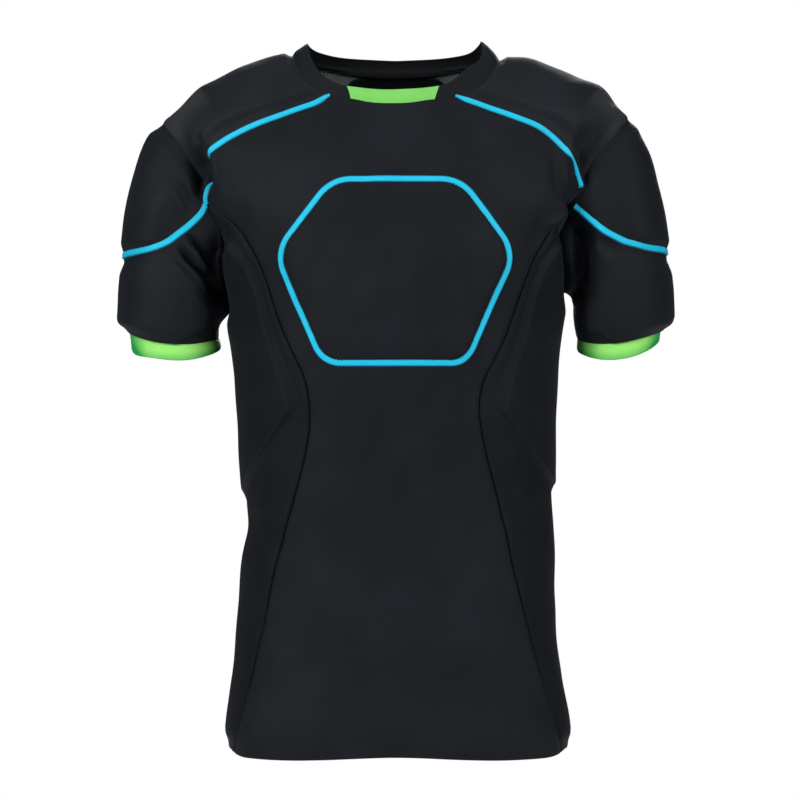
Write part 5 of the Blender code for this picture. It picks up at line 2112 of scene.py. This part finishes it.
@dataclass
class SeamBands:
    """Flat cyan seams along the yokes and round the sleeve caps."""

    neck_end: float = 2.0
    arm_end: float = 0.2
    cap_end: float = 0.2
    sink: float = 0.4
    tuck: float = 4.0
    tuck_below: float = 0.2
    least_width: float = 0.1
    tip: float = 0.35
    tip_run: Pair = (-2.0, 10.0)
    covered: tuple[tuple[Pair, ...], ...] = (
        ((0, 1), (-97, 1), (-104, 0), (-120, 0), (-140, 1), (-200, 1)),
        ((0, 1), (-96, 1), (-104, 0.35), (-124, 1), (-131, 1), (-134, 0), (-200, 0)),
    )
    seam: FlatSeam = field(default_factory=FlatSeam)

    def build(self) -> None:
        """Build the bands of both sides."""
        for face, stem in ((Face.FRONT, "front_seam_band"), (Face.BACK, "back_seam_band")):
            self.both(stem, *self.yoke_line(face))
        middle, across, outward = self.cap_line()
        self.both("sleeve_seam_band", middle, across, outward, SEAMS.cap_lift(len(middle)))

    def both(self, stem: str, middle: Array, across: Array, outward: Array,
             lift: Array | float = 0.0) -> None:
        """Build one band on both sides.

        Args:
            stem: Name of the band without its side.
            middle: Its middle line on the right side.
            across: Directions across it.
            outward: Outward directions.
            lift: Height of the cloth under it above the form.
        """
        for hand in Hand:
            line, side, up = (mirrored(values, hand) for values in (middle, across, outward))
            shown = self.shown(line, hand) if stem == "front_seam_band" else np.ones(len(line))
            tuck = self.tuck * (1 - rise(shown, 0.0, self.tuck_below))
            height = CREASES.height_at(line) - self.sink + lift - tuck
            line = STANCE.moved(line + height[:, None] * up)
            self.seam.build(f"{stem}_{hand.word}", line, side, up, widths=np.maximum(shown, self.least_width))

    def shown(self, line: Array, hand: Hand) -> Array:
        """Share of the front band's width to see: narrow at the neck, covered by the armhole's fold.

        Args:
            line: Points of its middle line.
            hand: Its side.

        Returns:
            The share at each point.
        """
        table = np.array(self.covered[hand.value > 0], float)
        taper = self.tip + (1 - self.tip) * rise(lengths_along(line), *self.tip_run)
        return taper * read_table(-table[:, 0], table[:, 1], -line[:, 2])

    def yoke_line(self, face: Face) -> tuple[Array, Array, Array]:
        """Middle line, directions across and outward directions of a yoke seam.

        Args:
            face: Front or back.

        Returns:
            The line, and both directions at its points.
        """
        seam = SEAMS.yoke[face]
        length = lengths_along(seam)[-1]
        count = int(length / self.seam.step)
        shares = np.linspace(self.neck_end / length, 1 - self.arm_end / length, count)
        middle = BODY.settle(resample(seam, shares))
        outward = BODY.outward(middle)
        return middle, unit(np.cross(outward, np.gradient(middle, axis=0))), outward

    def cap_line(self) -> tuple[Array, Array, Array]:
        """Middle line, directions across and outward directions of the cap seam.

        Returns:
            The line, and both directions at its points.
        """
        length = SEAMS.cap_lengths[-1]
        shares = np.linspace(self.cap_end / length, 1 - self.cap_end / length, int(length / self.seam.step))
        s, angles = SEAMS.cap_places(shares).T
        middle, outward = ARM.point(s, angles), ARM.outward(s, angles)
        return middle, unit(np.cross(outward, np.gradient(middle, axis=0))), outward


@dataclass
class Topstitching:
    """Rows of black stitches along hems and seams, and the blue row inside the neck."""

    pitch: float = 3.4
    length: float = 2.5
    radius: float = 0.2
    lift: float = 0.12
    sink: float = 0.25
    bends: tuple[float, ...] = (0.0, 0.25, 0.75, 1.0)
    hem_rows: Pair = (14.0, 18.5)
    seam_row: float = 3.0
    sleeve_rows: Pair = (5.0, 8.5)
    collar_row: float = 3.2
    pocket_row: float = 0.8

    def build(self, pieces: dict[str, ClothPiece]) -> dict[str, list[bpy.types.Object]]:
        """Sew every row.

        Args:
            pieces: Cloth pieces by name.

        Returns:
            The stitch pieces on each cloth piece.
        """
        hems = [(Edge.BOTTOM, row) for row in self.hem_rows]
        seams = [(edge, self.seam_row) for edge in (Edge.LEFT, Edge.RIGHT)]
        plan = {"front_panel": hems + seams, "back_panel": hems + seams}
        plan["collar"] = [(Edge.TOP, self.collar_row)]
        for hand in Hand:
            plan["side_panel_" + hand.word] = hems
            plan["lower_sleeve_" + hand.word] = [(Edge.TOP, row) for row in self.sleeve_rows]
        plan["pad_pocket"] = [(edge, self.pocket_row) for edge in Edge]
        sewn = {}
        for name, rows in plan.items():
            lines = [pieces[name].worn.beside(edge, row) for edge, row in rows]
            strands = [strand for line in lines for strand in self.row(*line)]
            blue = name == "pad_pocket"
            finish, slot = (BLUE_THREAD, "cyan_thread") if blue else (BLACK_THREAD, pieces[name].slot)
            sewn[name] = [self.piece(name + "_stitches", strands, finish, slot)]
        return sewn

    def row(self, line: Array, outward: Array) -> list[Array]:
        """Stitches along a line on the cloth.

        Args:
            line: Points of the line.
            outward: Outward directions there.

        Returns:
            The points of each stitch.
        """
        total = lengths_along(line)[-1]
        starts = np.arange(self.pitch / 2, total - self.pitch, self.pitch)
        shares = ((starts[:, None] + self.length * np.array(self.bends)) / total).ravel()
        up = unit(resample(line, shares, outward))
        arch = np.tile((-self.sink, self.lift, self.lift, -self.sink), len(starts))
        return list((resample(line, shares) + arch[:, None] * up).reshape(len(starts), len(self.bends), 3))

    def piece(self, name: str, strands: list[Array], finish: ClothFinish, slot: str) -> bpy.types.Object:
        """Make one piece of thread.

        Args:
            name: Its name.
            strands: Points of its stitches.
            finish: Its finish.
            slot: Material slot that it follows; not used.

        Returns:
            The piece.
        """
        piece = new_piece(name, thread_mesh(name, strands, self.radius), (finish,), stands_in=False)
        LOG.info("%s: %d stitches", name, len(strands))
        return piece


@dataclass
class Stage:
    """Plain studio: pale floor, white surroundings, soft lights and the camera of the photograph."""

    floor_z: float = -1.02
    floor_radius: float = 1.9
    floor_sides: int = 96
    floor_colour: Triple = (0.86, 0.86, 0.86)
    floor_roughness: float = 0.8
    camera_place: Triple = (0.004, -3.2, -0.34)
    lens: float = 144.0
    ambient: float = 0.04
    lights: tuple[tuple[str, Triple, float, float], ...] = (
        ("key", (-2.1, -2.1, 0.9), 1.5, 66.0),
        ("fill", (2.1, -2.1, 0.9), 1.5, 53.0),
        ("top", (0.0, -0.4, 2.2), 1.4, 12.0),
        ("back", (0.3, 2.9, 0.8), 1.6, 44.0),
    )
    aim: Triple = (0.0, 0.0, -0.32)

    def build(self) -> None:
        """Set up floor, surroundings, lights and camera."""
        self.floor()
        self.surroundings()
        for name, place, size, power in self.lights:
            self.light(name, place, size, power)
        self.camera()
        bpy.context.scene.view_settings.view_transform = "Standard"

    def floor(self) -> None:
        """Pale round floor below the top."""
        disc = bmesh.new()
        bmesh.ops.create_circle(disc, cap_ends=True, segments=self.floor_sides, radius=self.floor_radius)
        bmesh.ops.translate(disc, verts=disc.verts[:], vec=(0.0, 0.0, self.floor_z))
        mesh = bpy.data.meshes.new("floor")
        disc.to_mesh(mesh)
        disc.free()
        material = bpy.data.materials.new("pale_floor")
        material.use_nodes = True
        shader = material.node_tree.nodes["Principled BSDF"]
        shader.inputs["Base Color"].default_value = (*self.floor_colour, 1.0)
        shader.inputs["Roughness"].default_value = self.floor_roughness
        mesh.materials.append(material)
        in_scene("floor", mesh)

    def surroundings(self) -> None:
        """White seen behind the top, and a dimmer even light from all sides."""
        world = bpy.data.worlds.new("studio")
        bpy.context.scene.world = world
        world.use_nodes = True
        nodes = NodeSheet(world.node_tree)
        seen = nodes.add("LightPath").outputs["Is Camera Ray"]
        strength = nodes.span(seen, (0.0, 1.0), (self.ambient, 1.0))
        nodes.feed(world.node_tree.nodes["Background"],
                   {"Color": (1.0, 1.0, 1.0, 1.0), "Strength": strength})

    def light(self, name: str, place: Triple, size: float, power: float) -> None:
        """Add one square soft light that faces the top.

        Args:
            name: Its name.
            place: Where it stands, in metres.
            size: Length of its sides.
            power: Its power in watts.
        """
        lamp = bpy.data.lights.new(name, "AREA")
        lamp.energy = power
        lamp.size = size
        holder = in_scene(name, lamp)
        run = np.array(self.aim) - np.array(place)
        holder.location = place
        holder.rotation_euler = (math.atan2(math.hypot(run[0], run[1]), -run[2]), 0.0,
                                 math.atan2(run[1], run[0]) - math.pi / 2)

    def camera(self) -> None:
        """Camera straight in front, as in the photograph."""
        data = bpy.data.cameras.new("photo_view")
        data.lens = self.lens
        camera = in_scene("photo_view", data)
        camera.location = self.camera_place
        camera.rotation_euler = (math.pi / 2, 0.0, 0.0)
        bpy.context.scene.camera = camera


def main() -> None:
    """Build the stage and every piece."""
    logging.basicConfig(level=logging.INFO, format="%(message)s")
    Stage().build()
    panels = (BodyPanels(), Shoulders(), Sleeves(), NeckBand(), PadPocket())
    for part in (*panels, FramedPads(), SeamBands()):
        part.build()
    pieces = {name: piece for part in panels for name, piece in part.pieces.items()}
    stitches = Topstitching().build(pieces)
    for name, piece in pieces.items():
        piece.declare(stitches.get(name, []))


if __name__ == "__main__":
    main()
